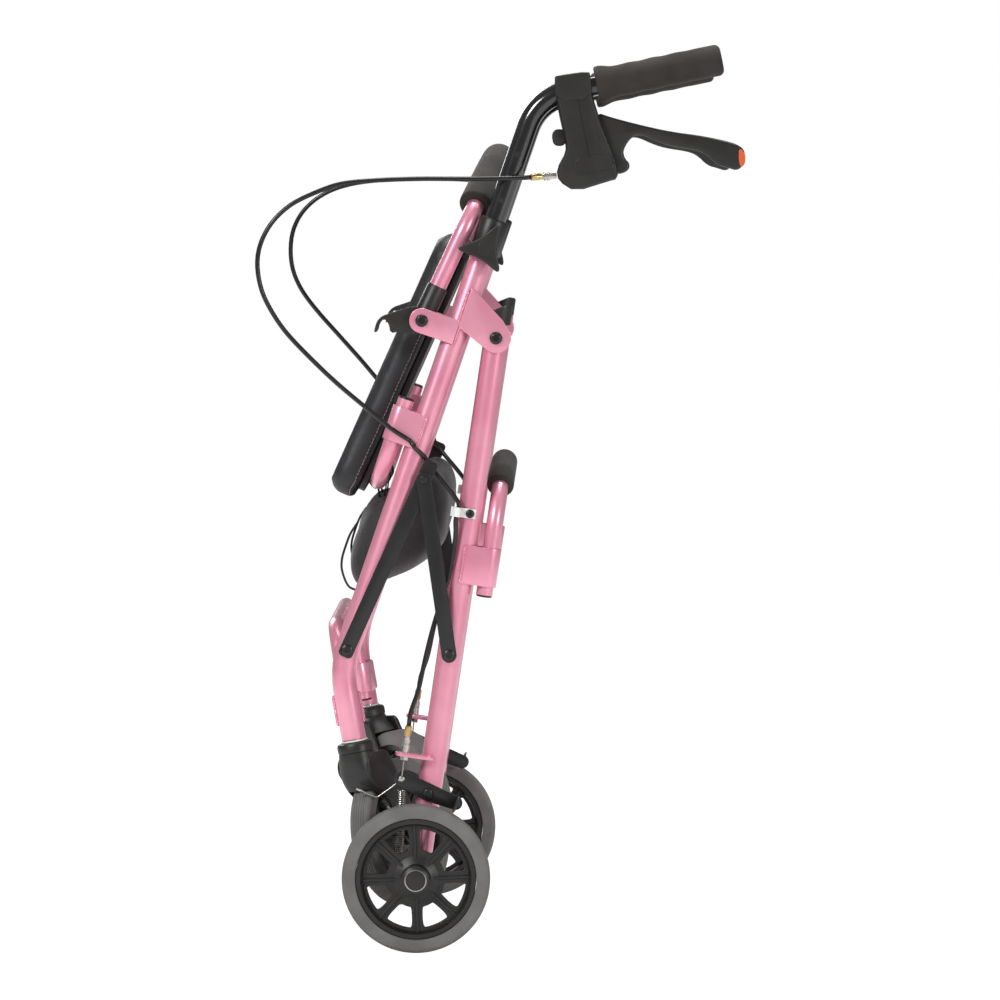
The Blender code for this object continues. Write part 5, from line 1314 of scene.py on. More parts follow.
@dataclass
class Casters:
    """Swivelling casters: stems in the front legs, forks with their axles, and wheels."""

    drop: float = 0.1063
    trail: float = 0.054
    hub_width: float = 0.030
    crown_radius: float = 0.0187
    blade: float = 0.0045
    inner: float = 0.0155

    def build(self) -> None:
        """Build both casters."""
        for side, word in SIDES:
            matrix = caster_matrix(side)
            swivel = place(STEM.at(-STEM_LEG), side)
            stem = [(0.0, 0.035), (0.0108, 0.035), (0.0108, -GAP), (0.0127, -GAP), (0.0127, -0.0020), (0.006, -0.0023),
                    (0.006, -0.030), (0.0, -0.030)]
            piece(f"{word}_stem", revolved(stem, swivel, STEM.up(), 48), ZINC, "front_frame", f"{word}_caster_stem")
            washer = [(0.0128, -0.0003), (0.0138, -0.0006), (0.0138, -0.0019), (0.0128, -0.0022), (0.0128, -0.0003)]
            piece(f"{word}_stem_washer", revolved(washer, swivel, STEM.up(), 48), NYLON, "front_frame")
            wheel = matrix.copy()
            wheel[:3, 3] = matrix[:3, 3] + self.trail * matrix[:3, 0] - self.drop * matrix[:3, 2]
            Wheel(f"{word}_caster", f"{word}_caster_wheel", wheel, self.hub_width).build()
            self.build_fork(matrix, wheel, word)

    def hood(self, matrix: Array) -> Surface:
        """Return the fork's moulded top, which widens from the crown to a hood over the wheel.

        Each level is a superellipse, |a| and |b| to one power, given as (height, middle along the trail, half
        length, half width, a hundredth of the power), and the levels flow into each other.

        Args:
            matrix: the caster's frame.

        Returns:
            A closed surface.
        """
        levels = flowing(np.array([
            (-0.0136, 0.0000, 0.0182, 0.0182, 0.020), (-0.0170, 0.0006, 0.0193, 0.0190, 0.020),
            (-0.0215, 0.0024, 0.0212, 0.0198, 0.022), (-0.0270, 0.0058, 0.0238, 0.0203, 0.026),
            (-0.0335, 0.0096, 0.0262, 0.0204, 0.032), (-0.0420, 0.0130, 0.0268, 0.0204, 0.038),
            (-0.0520, 0.0172, 0.0246, 0.0204, 0.040), (-0.0600, 0.0212, 0.0205, 0.0203, 0.040),
            (-0.0650, 0.0235, 0.0160, 0.0201, 0.040),
        ]), 0.002)
        turn = np.linspace(0.0, 2 * math.pi, 80, endpoint=False)
        power = 0.02 / levels[:, 4:5]
        a = np.sign(np.cos(turn)) * np.abs(np.cos(turn)) ** power
        b = np.sign(np.sin(turn)) * np.abs(np.sin(turn)) ** power
        along = (levels[:, 1:2] + levels[:, 2:3] * a)[..., None] * matrix[:3, 0]
        across = (levels[:, 3:4] * b)[..., None] * matrix[:3, 1]
        return grid(matrix[:3, 3] + along + across + levels[:, :1, None] * matrix[:3, 2])

    def build_fork(self, matrix: Array, wheel: Array, word: str) -> None:
        """Build a fork: a grooved crown, the hood that the wheel's room is cut from, and two blades.

        Args:
            matrix: the caster's frame.
            wheel: the wheel's frame.
            word: the side's name.
        """
        x, y, z, origin = matrix[:3, 0], matrix[:3, 1], matrix[:3, 2], matrix[:3, 3]
        top, r, neck = -0.0026, self.crown_radius, self.crown_radius - 0.0012
        crown = [(0.0062, top), (r - 0.004, top), (r - 0.0012, top - 0.0009), (r, top - 0.0032), (r, top - 0.0098),
                 (neck, top - 0.0104), (neck, -0.030), (0.0062, -0.030), (0.0062, top)]
        outer = self.inner + self.blade
        outline = around(circle((0.003, -0.0300), 0.0140), circle((0.020, -0.0270), 0.0110),
                         circle((self.trail, -self.drop), 0.0125))
        blades = [slab(outline, self.blade, origin + sign * (self.inner + outer) / 2 * y, x, z, 0.0012)
                  for sign in (-1, 1)]
        centre = wheel[:3, 3]
        room = rod(centre - y * self.inner, centre + y * self.inner, WHEEL_RADIUS + 0.003, x, 96)
        stem = rod(origin - z * 0.033, origin + z * 0.01, 0.0063, x, 40)
        body = f"{word}_caster"
        hood = carved(made_object(f"{word}_fork_hood", self.hood(matrix)), room, stem)
        finished(hood, ABS, body, (f"{word}_caster_fork",), 40.0)
        finished(carved(made_object(f"{word}_fork_crown", revolved(crown, origin, z, 64)), room), ABS, body)
        piece(f"{word}_fork_blades", joined(blades), ABS, body)
        axle = [rod(centre - y * outer, centre + y * outer, 0.004, x, 32),
                domed(centre + y * (outer - 0.0002), y, 0.0062, 0.0034, 40),
                hex_nut(centre - y * (outer - 0.0002), -y, 0.0062, 0.0034)]
        piece(f"{word}_caster_axle", joined(axle), ZINC, body)


@dataclass
class RearBrakes:
    """Brake arms with their shoes, the cable adjusters, clips and bare brake wires."""

    arm_width: float = 0.0165
    back: tuple[float, float] = (0.0400, 0.0745)

    def from_axle(self, offset: tuple[float, float]) -> tuple[float, float]:
        """Return (x, z) of a point given from the rear axle."""
        return offset[0], WHEEL_RADIUS + offset[1]

    def build(self) -> None:
        """Build both brakes."""
        for side, word in SIDES:
            self.build_arm(side, word)
            base = place(LEG.at(STOP_UP, WIRE_FRONT), side, WIRE_OUT)
            sleeve = [(0.0, 0.030), (0.0030, 0.030), (0.0036, 0.0292), (0.0036, 0.0205), (0.0030, 0.0190),
                      (0.0, 0.0190)]
            barrel = [(0.0, 0.0192), (0.0030, 0.0192), (0.0030, 0.0165), (0.0040, 0.0163), (0.0040, 0.0120),
                      (0.0034, 0.0116), (0.0034, 0.0108), (0.0040, 0.0104), (0.0040, 0.0026), (0.0030, 0.0024),
                      (0.0030, -0.0024), (0.0, -0.0024)]
            adjuster = [revolved(barrel, base, LEG.up(), 40),
                        hex_nut(base - LEG.up() * 0.0023, -LEG.up(), 0.0045, 0.004)]
            piece(f"{word}_adjuster", joined(adjuster), ZINC, "rear_frame", f"{word}_cable_adjuster")
            piece(f"{word}_lower_ferrule", revolved(sleeve, base, LEG.up(), 40), BRASS, "rear_frame")
            dressed(f"{word}_cable_clip", NYLON)
            self.build_wire(side, word, base)

    def build_arm(self, side: int, word: str) -> None:
        """Build the plate that the cable lifts in front, with the shoe that it presses on the tyre behind.

        Args:
            side: -1 for left, 1 for right.
            word: the side's name.
        """
        outline = around(
            circle(ARM_FRONT, self.arm_width / 2),
            circle(ARM_PIVOT, self.arm_width / 2),
            circle(self.from_axle(self.back), self.arm_width / 2 - 0.001),
        )
        foot, top = np.array(self.from_axle((0.0370, 0.0694))), np.array(self.from_axle((0.0423, 0.0822)))
        rise = unit(top - foot)
        across = np.array([rise[1], -rise[0]])
        first = np.array([across[0], 0.0, across[1]])
        second = np.array([rise[0], 0.0, rise[1]])
        near, far = PLATE_OUT + 0.0005, WHEEL_OUT + TYRE_HALF - 0.002
        tall = float(np.linalg.norm(top - foot))
        shoe = slab(eased(np.array([(0.0, 0.0), (PLATE, 0.0), (PLATE, tall), (0.0, tall)]), 1), far - near,
                    place((float(foot[0]), float(foot[1])), side, (near + far) / 2), first, second, 0.0006)
        arm = joined([side_slab(outline, side, PLATE_OUT, PLATE, 0.0005), shoe])
        piece(f"{word}_arm_plate", arm, BLACK_STEEL, f"{word}_arm", f"{word}_brake_arm")

    def build_wire(self, side: int, word: str, base: Array) -> None:
        """Build the bare wire from the adjuster to the brake arm, and the cut tail with its crimp.

        Args:
            side: -1 for left, 1 for right.
            word: the side's name.
            base: the adjuster's place.
        """
        low = base - LEG.up() * 0.006
        hole = place(ARM_FRONT, side, PLATE_OUT + PLATE + 0.0008)
        down = np.stack([low, (low + hole) / 2, hole])
        tail = bent([place((-0.0170, 0.1735), side, 0.0122), place((-0.0411, 0.1558), side, 0.0135),
                     place((-0.0621, 0.1659), side, 0.0160)], 0.004, 8)
        wire = joined([swept(down, 0.0008, outward(1), 12), swept(tail, 0.0008, outward(1), 12)])
        ahead = unit(tail[-1] - tail[-2])
        crimp = swept(np.stack([tail[-1] - ahead * 0.0065, tail[-1]]), 0.0015, outward(1), 16, 0.0004)
        clamp = domed(place(ARM_FRONT, side, PLATE_OUT + PLATE), outward(side), 0.0034, 0.0022)
        piece(f"{word}_brake_wire", joined([wire, crimp, clamp]), ZINC, f"{word}_arm")


@dataclass
class Braces:
    """Two folding steel bars on the outside of each side frame, which meet at a rivet."""

    half: float = 0.00775
    meet_offset: tuple[float, float] = (-0.0741, -0.1451)

    def build(self) -> None:
        """Build the bars of both sides."""
        foot, rear_foot = np.array(MAIN.at(BRACE_DOWN)), np.array(LEG.at(BRACE_UP))
        meet = np.array([FOLD_PIVOT[0] + self.meet_offset[0], FOLD_PIVOT[1] + self.meet_offset[1]])
        along = unit(meet - foot)
        ends = (foot - along * 0.003, meet + along * 0.0160)
        front = around(*(circle(tuple(p), 0.0045, 24) + sign * 0.0032 * np.array([-along[1], along[0]])
                         for p in ends for sign in (-1, 1)))
        rear = around(circle(tuple(rear_foot), self.half),
                      circle(tuple(meet), self.half))
        for side, word in SIDES:
            piece(f"{word}_front_bar_strip", side_slab(front, side, PLATE_OUT, PLATE, 0.0005), BLACK_STEEL,
                  f"{word}_front_bar", f"{word}_front_brace")
            out = PLATE_OUT + PLATE + GAP
            rivet = domed(place(tuple(meet), side, out + PLATE - 0.0002), outward(side), 0.00425, 0.0020)
            strip = side_slab(rear, side, out, PLATE, 0.0005)
            piece(f"{word}_rear_bar_strip", joined([strip, rivet]), BLACK_STEEL, f"{word}_rear_bar",
                  f"{word}_rear_brace")


@dataclass
class Backrest:
    """The padded hoop and the moulded sockets that turn on the front legs."""

    rise: float = 0.182
    bow: float = 0.047
    corner: float = 0.045
    start: float = 0.0117
    tube_radius: float = 0.009
    foam_radius: float = 0.0175
    socket_radius: float = 0.0108
    socket_top: float = 0.0388
    hook: tuple[tuple[float, float], ...] = (
        (0.0030, 0.0110), (-0.0086, 0.0157), (-0.0360, 0.0064), (-0.0400, 0.0050), (-0.0437, 0.0024),
        (-0.0467, -0.0018), (-0.0488, -0.0095), (-0.0488, -0.0125), (-0.0452, -0.0110), (-0.0433, -0.0030),
        (-0.0391, 0.0020), (-0.0340, -0.0030), (-0.0323, -0.0132), (-0.0239, -0.0115), (-0.0086, -0.0152),
        (0.0030, -0.0110),
    )

    def path(self) -> tuple[Array, int]:
        """Return the tube's axis, up from each socket, round a tight corner and along a shallow bow.

        Returns:
            The points, and how many belong to one upright and its corner.
        """
        half, low = HALF_SPACING, self.rise - self.bow
        chord = half - 0.025
        radius = (chord**2 + self.bow**2) / (2 * self.bow)
        turn = math.pi / 2 - math.asin(chord / radius)
        t = np.linspace(0.0, turn, 15)
        inset = self.corner * (1 - math.cos(turn))
        y = -half + self.corner * (1 - np.cos(t))
        h = low - self.corner * math.sin(turn) + self.corner * np.sin(t)
        spread = math.asin((half - inset) / radius)
        b = np.linspace(-spread, spread, 42)[1:-1]
        left = np.stack([np.concatenate([[-half], y]), np.concatenate([[self.start], h])], axis=1)
        middle = np.stack([radius * np.sin(b), low + radius * (np.cos(b) - math.cos(spread))], axis=1)
        right = left[::-1] * np.array([-1.0, 1.0])
        flat = np.vstack([left, middle, right])
        base = across_at(BACKREST_PIVOT)
        return base + flat[:, :1] * Y_AXIS + flat[:, 1:] * BACKREST.up(), len(left)

    def build(self) -> None:
        """Build the hoop, its foam and the sockets."""
        path, count = self.path()
        piece("backrest_hoop", swept(path, self.tube_radius, BACKREST.front(), 40), PINK_ENAMEL, "backrest",
              "backrest_tube")
        foam = swept(path[count - 4:4 - count], self.foam_radius, BACKREST.front(), 56, 0.0045)
        piece("backrest_sleeve", foam, NBR_FOAM, "backrest", "backrest_foam")
        for side, word in SIDES:
            base = place(BACKREST_PIVOT, side)
            up = BACKREST.up()
            sleeve = [(0.0, 0.0), (self.socket_radius, 0.0), (self.socket_radius, self.socket_top - 0.002),
                      (self.socket_radius - 0.0008, self.socket_top), (self.tube_radius + GAP, self.socket_top),
                      (self.tube_radius + GAP, self.start - GAP), (0.0, self.start - GAP)]
            eye = [(0.0043, 0.0124), (0.0104, 0.0124), (0.0112, 0.0116), (0.0112, -0.0116), (0.0104, -0.0124),
                   (0.0043, -0.0124), (0.0043, 0.0124)]
            outline = eased(np.array([(BACKREST_PIVOT[0] + x, BACKREST_PIVOT[1] + z) for x, z in self.hook]), 1)
            parts = [revolved(sleeve, base, up, 48), revolved(eye, base, outward(side), 48),
                     side_slab(outline, side, -0.008, 0.016, 0.0007)]
            piece(f"{word}_hook_socket", joined(parts), ABS, "backrest", f"{word}_backrest_socket")


@dataclass
class Seat:
    """The padded seat with its stitched edge, the board under it and the saddles on the upper bar."""

    low: float = -0.033
    length: float = 0.300
    width: float = 0.376
    bottom: float = 0.0166
    thickness: float = 0.0270
    corner: float = 0.028
    board: float = 0.0070
    margin: float = 0.016

    def world(self, local: Array) -> Array:
        """Return the world places of points given as (y, s, n) from the seat's axis."""
        base = across_at(SEAT_PIVOT)
        across = Y_AXIS
        return base + local[..., :1] * across + local[..., 1:2] * SEAT.up() + local[..., 2:] * SEAT.front()

    def rim(self, inset: float, count: int = 36) -> Array:
        """Return the pad's outline (y, s), a rectangle with round corners, pulled in by an inset.

        Args:
            inset: how far it is pulled in.
            count: points in each corner.

        Returns:
            (n, 2) points.
        """
        half, r = self.width / 2 - inset, max(self.corner - inset, 0.004)
        low, high = self.low + inset, self.low + self.length - inset
        centres = ((half - r, high - r, 0.0), (r - half, high - r, 0.5), (r - half, low + r, 1.0),
                   (half - r, low + r, 1.5))
        arcs = []
        for y, s, start in centres:
            turn = np.linspace(start * math.pi, (start + 0.5) * math.pi, count)
            arcs.append(np.stack([y + r * np.cos(turn), s + r * np.sin(turn)], axis=1))
        return np.vstack(arcs)

    def pad(self) -> Surface:
        """Return the pad before it swells: a flat back, an upright edge and a quarter circle over to the top.

        Returns:
            A closed surface.
        """
        top, bend = self.bottom + self.thickness, 0.0135
        turn = np.linspace(0.0, math.pi / 2, 10)
        inset = np.concatenate([[0.0020, 0.0006], bend * (1 - np.cos(turn)), [0.030, 0.060]])
        height = np.concatenate([[self.bottom, self.bottom + 0.0014], top - bend * (1 - np.sin(turn)),
                                 [top + 0.0008, top + 0.0015]])
        rows = [np.column_stack([self.rim(float(i)), np.full(4 * 36, h)]) for i, h in zip(inset, height)]
        return grid(self.world(np.stack(rows)))

    def build(self) -> None:
        """Build the pad, the stitches along its back edge, and the board."""
        cover = made_object("seat_cover", self.pad())
        swell(cover, cap=0.005)
        self.settle(cover)
        finished(cover, VINYL, "seat", ("seat_pad",), 60.0)
        seam = self.world(np.column_stack([self.rim(-0.0004), np.full(4 * 36, self.bottom + 0.0042)]))
        piece("seat_stitches", self.stitches(seam, cover), THREAD, "seat")
        self.build_board()

    def settle(self, cover: bpy.types.Object) -> None:
        """Keep the swollen pad inside the room of its CAD solid, with its underside flat on the board.

        Args:
            cover: the pad.
        """
        mesh = cover.data
        flat = np.empty(len(mesh.vertices) * 3)
        mesh.vertices.foreach_get("co", flat)
        points = flat.reshape(-1, 3)
        base = across_at(SEAT_PIVOT)
        n = (points - base) @ SEAT.front()
        wanted = np.clip(n, self.bottom + GAP, self.bottom + self.thickness + 0.0025)
        s = (points - base) @ SEAT.up()
        wanted_s = np.clip(s, self.low - 0.002, self.low + self.length + 0.002)
        points[:, 1] = np.clip(points[:, 1], -self.width / 2 - 0.0012, self.width / 2 + 0.0012)
        points = points + (wanted - n)[:, None] * SEAT.front() + (wanted_s - s)[:, None] * SEAT.up()
        mesh.vertices.foreach_set("co", points.ravel())
        mesh.update()

    def stitches(self, seam: Array, cover: bpy.types.Object) -> Surface:
        """Return a row of stitches: short threads laid on the cover along the seam every 4 mm.

        Args:
            seam: (n, 3) points of the closed seam.
            cover: the pad that they lie on.

        Returns:
            All stitches in one surface.
        """
        loop = np.vstack([seam, seam[:1]])
        steps = np.concatenate([[0.0], np.cumsum(np.linalg.norm(np.diff(loop, axis=0), axis=1))])
        count = int(steps[-1] / 0.004)
        starts = np.arange(count) * steps[-1] / count
        at = np.stack([np.interp(np.stack([starts, starts + 0.0014, starts + 0.0028]), steps, loop[:, i])
                       for i in range(3)], axis=-1)
        laid = [cover.closest_point_on_mesh(Vector(p))[1] for p in at.reshape(-1, 3)]
        at = np.array([tuple(p) for p in laid]).reshape(at.shape)
        ahead = unit(at[2] - at[0])
        side = unit(np.cross(ahead, SEAT.front()))
        up = np.cross(side, ahead)
        turn = np.linspace(0.0, 2 * math.pi, 6, endpoint=False)[:, None, None]
        ring = np.moveaxis(np.cos(turn) * up + np.sin(turn) * side, 0, 1)
        rows = at[:, :, None] + 0.0005 * ring[None]
        return joined([grid(rows[:, i]) for i in range(count)])

    def build_board(self) -> None:
        """Build the board, whose outline is a margin inside the pad's, and its two saddles."""
        board = slab(self.rim(self.margin, 12), self.board, self.world(np.array([0.0, 0.0, 0.0093 + self.board / 2])),
                     Y_AXIS, SEAT.up(), 0.001)
        parts = [board]
        room, wall = BAR_RADIUS + GAP, 0.0032
        turn = np.linspace(math.radians(-92), math.radians(92), 33)
        for y in (-0.110, 0.110):
            arcs = [np.stack([r * np.cos(turn), r * np.sin(turn)], axis=1) for r in (room, room + wall)]
            outline = np.vstack([arcs[0], arcs[1][::-1]])
            base = self.world(np.array([y, 0.0, 0.0]))
            parts.append(slab(outline, 0.030, base, SEAT.front(), SEAT.up(), 0.0006))
        piece("seat_base", joined(parts), ABS, "seat", "seat_board")


def swell(cover: bpy.types.Object, cap: float) -> None:
    """Blow a stuffed piece up with a cloth simulation, and limit how far each point may move.

    Args:
        cover: the closed piece, whose mesh is replaced.
        cap: the largest movement.
    """
    remesh = cover.modifiers.new("remesh", "REMESH")
    remesh.mode, remesh.voxel_size = "VOXEL", 0.005
    settled(cover)
    count = len(cover.data.vertices)
    before = np.empty(count * 3)
    cover.data.vertices.foreach_get("co", before)
    cloth = cover.modifiers.new("cloth", "CLOTH")
    cloth.settings.use_pressure = True
    cloth.settings.uniform_pressure_force = 4.0
    cloth.settings.effector_weights.gravity = 0.0
    for step in range(1, 21):
        bpy.context.scene.frame_set(step)
    seen = cover.evaluated_get(bpy.context.evaluated_depsgraph_get())
    after = np.empty(count * 3)
    seen.data.vertices.foreach_get("co", after)
    cover.modifiers.clear()
    bpy.context.scene.frame_set(1)
    move = (after - before).reshape(-1, 3)
    length = np.linalg.norm(move, axis=1, keepdims=True)
    share = np.minimum(1.0, cap / np.maximum(length, 1e-9))
    cover.data.vertices.foreach_set("co", (before.reshape(-1, 3) + move * share).ravel())
    finer = cover.modifiers.new("finer", "SUBSURF")
    finer.levels = finer.render_levels = 1
    settled(cover)


@dataclass
class Bag:
    """The soft bag under the seat: a shell lofted from side to side that sags and creases."""

    half_width: float = 0.165
    outline: tuple[tuple[float, float], ...] = (
        (-0.0140, -0.0230), (-0.0260, -0.0520), (-0.0360, -0.0900), (-0.0310, -0.1120), (-0.0200, -0.1190),
        (0.0070, -0.1090), (0.0500, -0.0890), (0.0680, -0.0700), (0.0770, -0.0360), (0.0800, -0.0180),
        (0.0740, 0.0030), (0.0620, 0.0150), (0.0480, 0.0150), (0.0340, 0.0020), (0.0180, -0.0170),
    )
    drawcord: tuple[tuple[float, float], ...] = (
        (-0.0230, -0.0450), (-0.0300, -0.0560), (-0.0350, -0.0690), (-0.0388, -0.0825), (-0.0386, -0.0950),
        (-0.0325, -0.1100), (-0.0240, -0.1150),
    )

    def build(self) -> None:
        """Build the bag's body, its drawcord and the slings over the upper bar."""
        piece("bag_body", self.shell(), BAG_CLOTH, "front_frame", "seat_bag", smooth=80.0)
        route = np.array([(SEAT_PIVOT[0] + REAR_AXLE_X + x, -0.158, SEAT_PIVOT[1] + z) for x, z in self.drawcord])
        cord = joined([swept(flowing(route * np.array([1.0, side, 1.0]), 0.002), 0.0012, outward(1), 12)
                       for side in (1, -1)])
        piece("bag_drawcord", cord, SHEATH, "front_frame")
        piece("bag_slings", joined(self.slings()), BAG_CLOTH, "front_frame")

    def shell(self) -> Surface:
        """Return the shell: the outline in each cross section, drawn in at the ends, sunk in the middle.

        Each section scales the outline about its centre by 0.10 + 0.88 (1 - share^10)^0.3, where share is its
        part of the half width, and long low waves along the width make the folds.

        Returns:
            A closed surface.
        """
        loop = eased(np.array([(SEAT_PIVOT[0] + x, SEAT_PIVOT[1] + z) for x, z in self.outline]), 4)
        centre = loop.mean(axis=0)
        share = np.sin(np.linspace(-math.pi / 2, math.pi / 2, 131))
        pull = np.clip(1 - np.abs(share) ** 10, 0.0, 1.0) ** 0.3
        size = 0.10 + 0.88 * pull
        share = np.clip(share, -0.999, 0.999)
        offset = loop - centre
        angle = np.arctan2(offset[:, 1], offset[:, 0])
        fold = 0.034 * np.sin(7 * share[:, None] + 2.0 * angle) * np.cos(3 * angle - 2.0 * share[:, None])
        crease = 0.020 * np.sin(19 * share[:, None] + 5 * np.sin(angle)) * np.cos(2 * angle + 1.0)
        reach = size[:, None] * (0.965 + fold + crease)
        flat = centre + reach[..., None] * offset[None]
        y = np.broadcast_to(self.half_width * share[:, None], flat.shape[:2])
        return grid(np.stack([flat[..., 0] + REAR_AXLE_X, y, flat[..., 1]], axis=-1))

    def slings(self) -> list[Surface]:
        """Return the two cloth slings over the upper bar.

        Returns:
            Two thin bands, each a slot-shaped loop carried across its width.
        """
        made = []
        turn = np.linspace(math.radians(-60), math.radians(240), 41)
        for y in (-0.050, 0.050):
            arcs = []
            for r in (BAR_RADIUS + GAP, BAR_RADIUS + 0.0016):
                arc = np.stack([r * np.cos(turn), r * np.sin(turn)], axis=1)
                arcs.append(np.vstack([[(0.0008 if r < 0.0095 else 0.0024, -0.030)], arc,
                                       [(-0.0008 if r < 0.0095 else -0.0024, -0.030)]]))
            outline = np.vstack([arcs[0], arcs[1][::-1]])
            base = across_at(SEAT_PIVOT, y)
            made.append(slab(outline, 0.030, base, X_AXIS, Z_AXIS, 0.0003))
        return made


@dataclass
class BrakeCables:
    """The two sheathed brake cables, from the housing round the front leg to the rear leg's adjuster.

    Loops are (x, distance outwards, z) from the rear axle's point on the floor, and round_leg is (s, n,
    distance outwards) on the front leg.
    """

    radius: float = 0.0024
    left: tuple[tuple[float, float, float], ...] = (
        (0.0650, 0.0165, 0.7932), (0.0330, 0.0175, 0.7932), (0.0021, 0.0185, 0.7932), (-0.0393, 0.0200, 0.7917),
        (-0.0760, 0.0215, 0.7882), (-0.1036, 0.0230, 0.7790), (-0.1288, 0.0245, 0.7663), (-0.1472, 0.0260, 0.7491),
        (-0.1587, 0.0270, 0.7284), (-0.1626, 0.0275, 0.7078), (-0.1598, 0.0275, 0.6848), (-0.1518, 0.0270, 0.6642),
        (-0.1357, 0.0260, 0.6389), (-0.1127, 0.0245, 0.6137), (-0.0829, 0.0225, 0.5850), (-0.0531, 0.0205, 0.5597),
        (-0.0255, 0.0190, 0.5368),
    )
    right: tuple[tuple[float, float, float], ...] = (
        (0.0650, 0.0165, 0.7910), (0.0330, 0.0175, 0.7925), (-0.0050, 0.0185, 0.7930), (-0.0550, 0.0205, 0.7910),
        (-0.0905, 0.0220, 0.7850), (-0.1160, 0.0235, 0.7740), (-0.1345, 0.0250, 0.7580), (-0.1455, 0.0265, 0.7380),
        (-0.1490, 0.0275, 0.7160), (-0.1465, 0.0275, 0.6930), (-0.1370, 0.0270, 0.6710), (-0.1200, 0.0260, 0.6480),
        (-0.0950, 0.0240, 0.6200), (-0.0700, 0.0220, 0.5920), (-0.0450, 0.0205, 0.5620), (-0.0255, 0.0190, 0.5368),
    )
    round_leg: tuple[tuple[float, float, float], ...] = (
        (-0.1285, 0.0080, 0.0180), (-0.1340, 0.0012, 0.0176), (-0.1372, -0.0064, 0.0146), (-0.1388, -0.0100, 0.0119),
        (-0.1404, -0.0120, 0.0100), (-0.1425, -0.0136, 0.0089), (-0.1520, -0.0280, 0.0088),
    )
    below_clip: tuple[tuple[float, float, float], ...] = (
        (0.0400, 0.0150, 0.4250), (0.0345, 0.0120, 0.3900), (0.0255, 0.0118, 0.3600), (0.0165, 0.0118, 0.3300),
        (0.0090, 0.0125, 0.3000), (0.0020, 0.0138, 0.2680),
    )

    def routes(self, side: int, brakes: HandBrakes) -> tuple[Array, Array]:
        """Return the cable's route in two stretches that meet at the front leg.

        Args:
            side: -1 for left, 1 for right.
            brakes: the hand brakes, for the place where the cable starts.

        Returns:
            The points from the housing to the leg, and from there to the adjuster.
        """
        start = place(brakes.from_knee(brakes.cable_end), side, brakes.cable_out) - brakes.exit(side) * GAP
        upper = [start, start - brakes.exit(side) * 0.012]
        upper += [place((x, z), side, out) for x, out, z in (self.left if side < 0 else self.right)]
        lower = [place(MAIN.at(s, n), side, out) for s, n, out in self.round_leg]
        lower += [place(LEG.at(CLIP_UP + s, 0.0135), side, 0.0180) for s in (0.010, 0.0, -0.010)]
        lower += [place((x, z), side, out) for x, out, z in self.below_clip]
        top = STOP_UP + 0.002 + 0.028 + GAP
        lower += [place(LEG.at(top + s, WIRE_FRONT), side, WIRE_OUT) for s in (0.014, 0.0)]
        whole = flowing(np.stack(upper + lower), 0.006)
        split = int(np.argmin(np.linalg.norm(whole - lower[0], axis=1)))
        return whole[:split + 1], whole[split:]

    def build(self, brakes: HandBrakes) -> None:
        """Build both cables, each in an upper and a lower stretch.

        Args:
            brakes: the hand brakes that they start from.
        """
        for side, word in SIDES:
            upper, lower = self.routes(side, brakes)
            spans = (("upper", upper, f"{word}_handle", "front_frame"), ("lower", lower, "front_frame", "rear_frame"))
            for part, path, first, second in spans:
                made = made_object(f"{word}_cable_{part}", swept(path, self.radius, outward(1), 16))
                made.data.materials.append(SHEATH.material())
                made.data.shade_smooth()
                if part == "upper":
                    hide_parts(f"{word}_brake_cable")
                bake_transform(made)


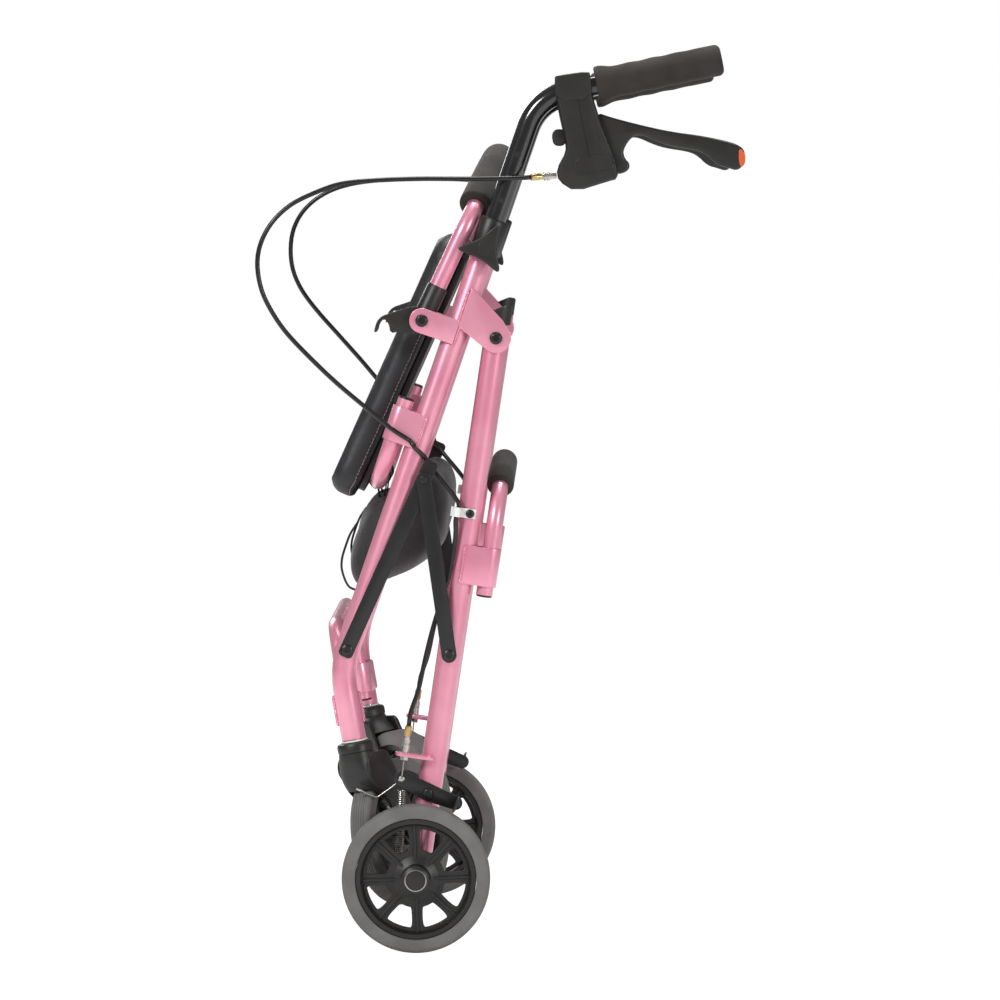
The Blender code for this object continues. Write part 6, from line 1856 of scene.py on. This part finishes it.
@dataclass
class Stage:
    """The pale floor, the white surround, the soft lamps and the camera at the photograph's angle."""

    camera_place: tuple[float, float, float] = (0.061, -6.88, 0.797)
    camera_turn: tuple[float, float, float] = (math.radians(90 - 2.874), 0.0, math.radians(0.531))
    lens: float = 233.0

    def build(self) -> None:
        """Build the floor, the world, the lamps and the camera."""
        self.build_floor()
        self.build_world()
        for name, spot, size, power in (
            ("key", (-2.8, -3.6, 3.2), 1.3, 150.0),
            ("side", (2.8, -3.0, 1.4), 0.8, 45.0),
            ("top", (0.3, 0.4, 3.8), 1.6, 90.0),
            ("back", (-1.6, 3.4, 2.2), 1.6, 45.0),
        ):
            self.build_lamp(name, Vector(spot), size, power)
        view = bpy.data.cameras.new("camera")
        view.lens = self.lens
        view.sensor_width = 36.0
        view.clip_end = 60.0
        made = bpy.data.objects.new("camera", view)
        bpy.context.scene.collection.objects.link(made)
        made.location = self.camera_place
        made.rotation_euler = self.camera_turn
        bpy.context.scene.camera = made
        bpy.context.scene.view_settings.view_transform = "Standard"

    def build_lamp(self, name: str, spot: Vector, size: float, power: float) -> None:
        """Build one soft square lamp that faces the object.

        Args:
            name: the lamp's name.
            spot: its place.
            size: the length of its sides.
            power: its power in watts.
        """
        light = bpy.data.lights.new(name, "AREA")
        light.size, light.energy = size, power
        made = bpy.data.objects.new(name, light)
        bpy.context.scene.collection.objects.link(made)
        made.location = spot
        made.rotation_euler = (Vector((0.0, 0.0, 0.45)) - spot).to_track_quat("-Z", "Y").to_euler()

    def plain_rays(self, tree: bpy.types.NodeTree) -> bpy.types.NodeSocket:
        """Return a socket that is 1 for the camera's rays and for those that pass through a piece."""
        path = add_node(tree, "ShaderNodeLightPath", {})
        seen = add_node(tree, "ShaderNodeMath", {"operation": "MAXIMUM"},
                        {0: path.outputs["Is Camera Ray"], 1: path.outputs["Is Transmission Ray"]})
        return seen.outputs[0]

    def build_world(self) -> None:
        """Light the object evenly from all sides, and show white behind it and in its reflections."""
        world = bpy.data.worlds.new("surround")
        world.use_nodes = True
        bpy.context.scene.world = world
        tree = world.node_tree
        strength = add_node(tree, "ShaderNodeMapRange", {"To Min": 0.24, "To Max": 1.0},
                            {"Value": self.plain_rays(tree)})
        shade = tree.nodes["Background"]
        shade.inputs["Color"].default_value = (1.0, 1.0, 1.0, 1.0)
        tree.links.new(strength.outputs["Result"], shade.inputs["Strength"])

    def build_floor(self) -> None:
        """Build a wide pale floor that shows white but keeps a soft shadow."""
        reach = 14.0
        corners = np.array([(-reach, -reach, 0.0), (reach, -reach, 0.0), (reach, reach, 0.0), (-reach, reach, 0.0)])
        floor = made_object("floor", Surface(corners, [[0, 1, 2, 3]]))
        made = bpy.data.materials.new("pale_floor")
        made.use_nodes = True
        tree = made.node_tree
        shader = tree.nodes["Principled BSDF"]
        shader.inputs["Base Color"].default_value = linear("F4F4F4")
        shader.inputs["Roughness"].default_value = 0.9
        share = add_node(tree, "ShaderNodeMath", {"operation": "MULTIPLY", 1: 0.80}, {0: self.plain_rays(tree)})
        glow = add_node(tree, "ShaderNodeEmission", {"Color": (1.0, 1.0, 1.0, 1.0), "Strength": 1.2})
        mixed = add_node(tree, "ShaderNodeMixShader", {},
                         {0: share.outputs[0], 1: shader.outputs["BSDF"], 2: glow.outputs["Emission"]})
        tree.links.new(mixed.outputs["Shader"], tree.nodes["Material Output"].inputs["Surface"])
        floor.data.materials.append(made)


def main() -> None:
    """Build the stage, then every sub-assembly in order, and log each one as it is built."""
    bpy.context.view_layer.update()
    Stage().build()
    handles, brakes = Handles(), HandBrakes()
    BrakeCables().build(brakes)
    handles.build()
    brakes.build(handles)
    for assembly in (FrontLegs(), RearLegs(), CrossBars(), HeightClamps(), RearWheels(), Casters(), RearBrakes(),
                     Braces(), Backrest(), Seat(), Bag()):
        assembly.build()
        LOG.info("%s is built", type(assembly).__name__)
    bpy.context.view_layer.update()


if __name__ == "__main__":
    main()
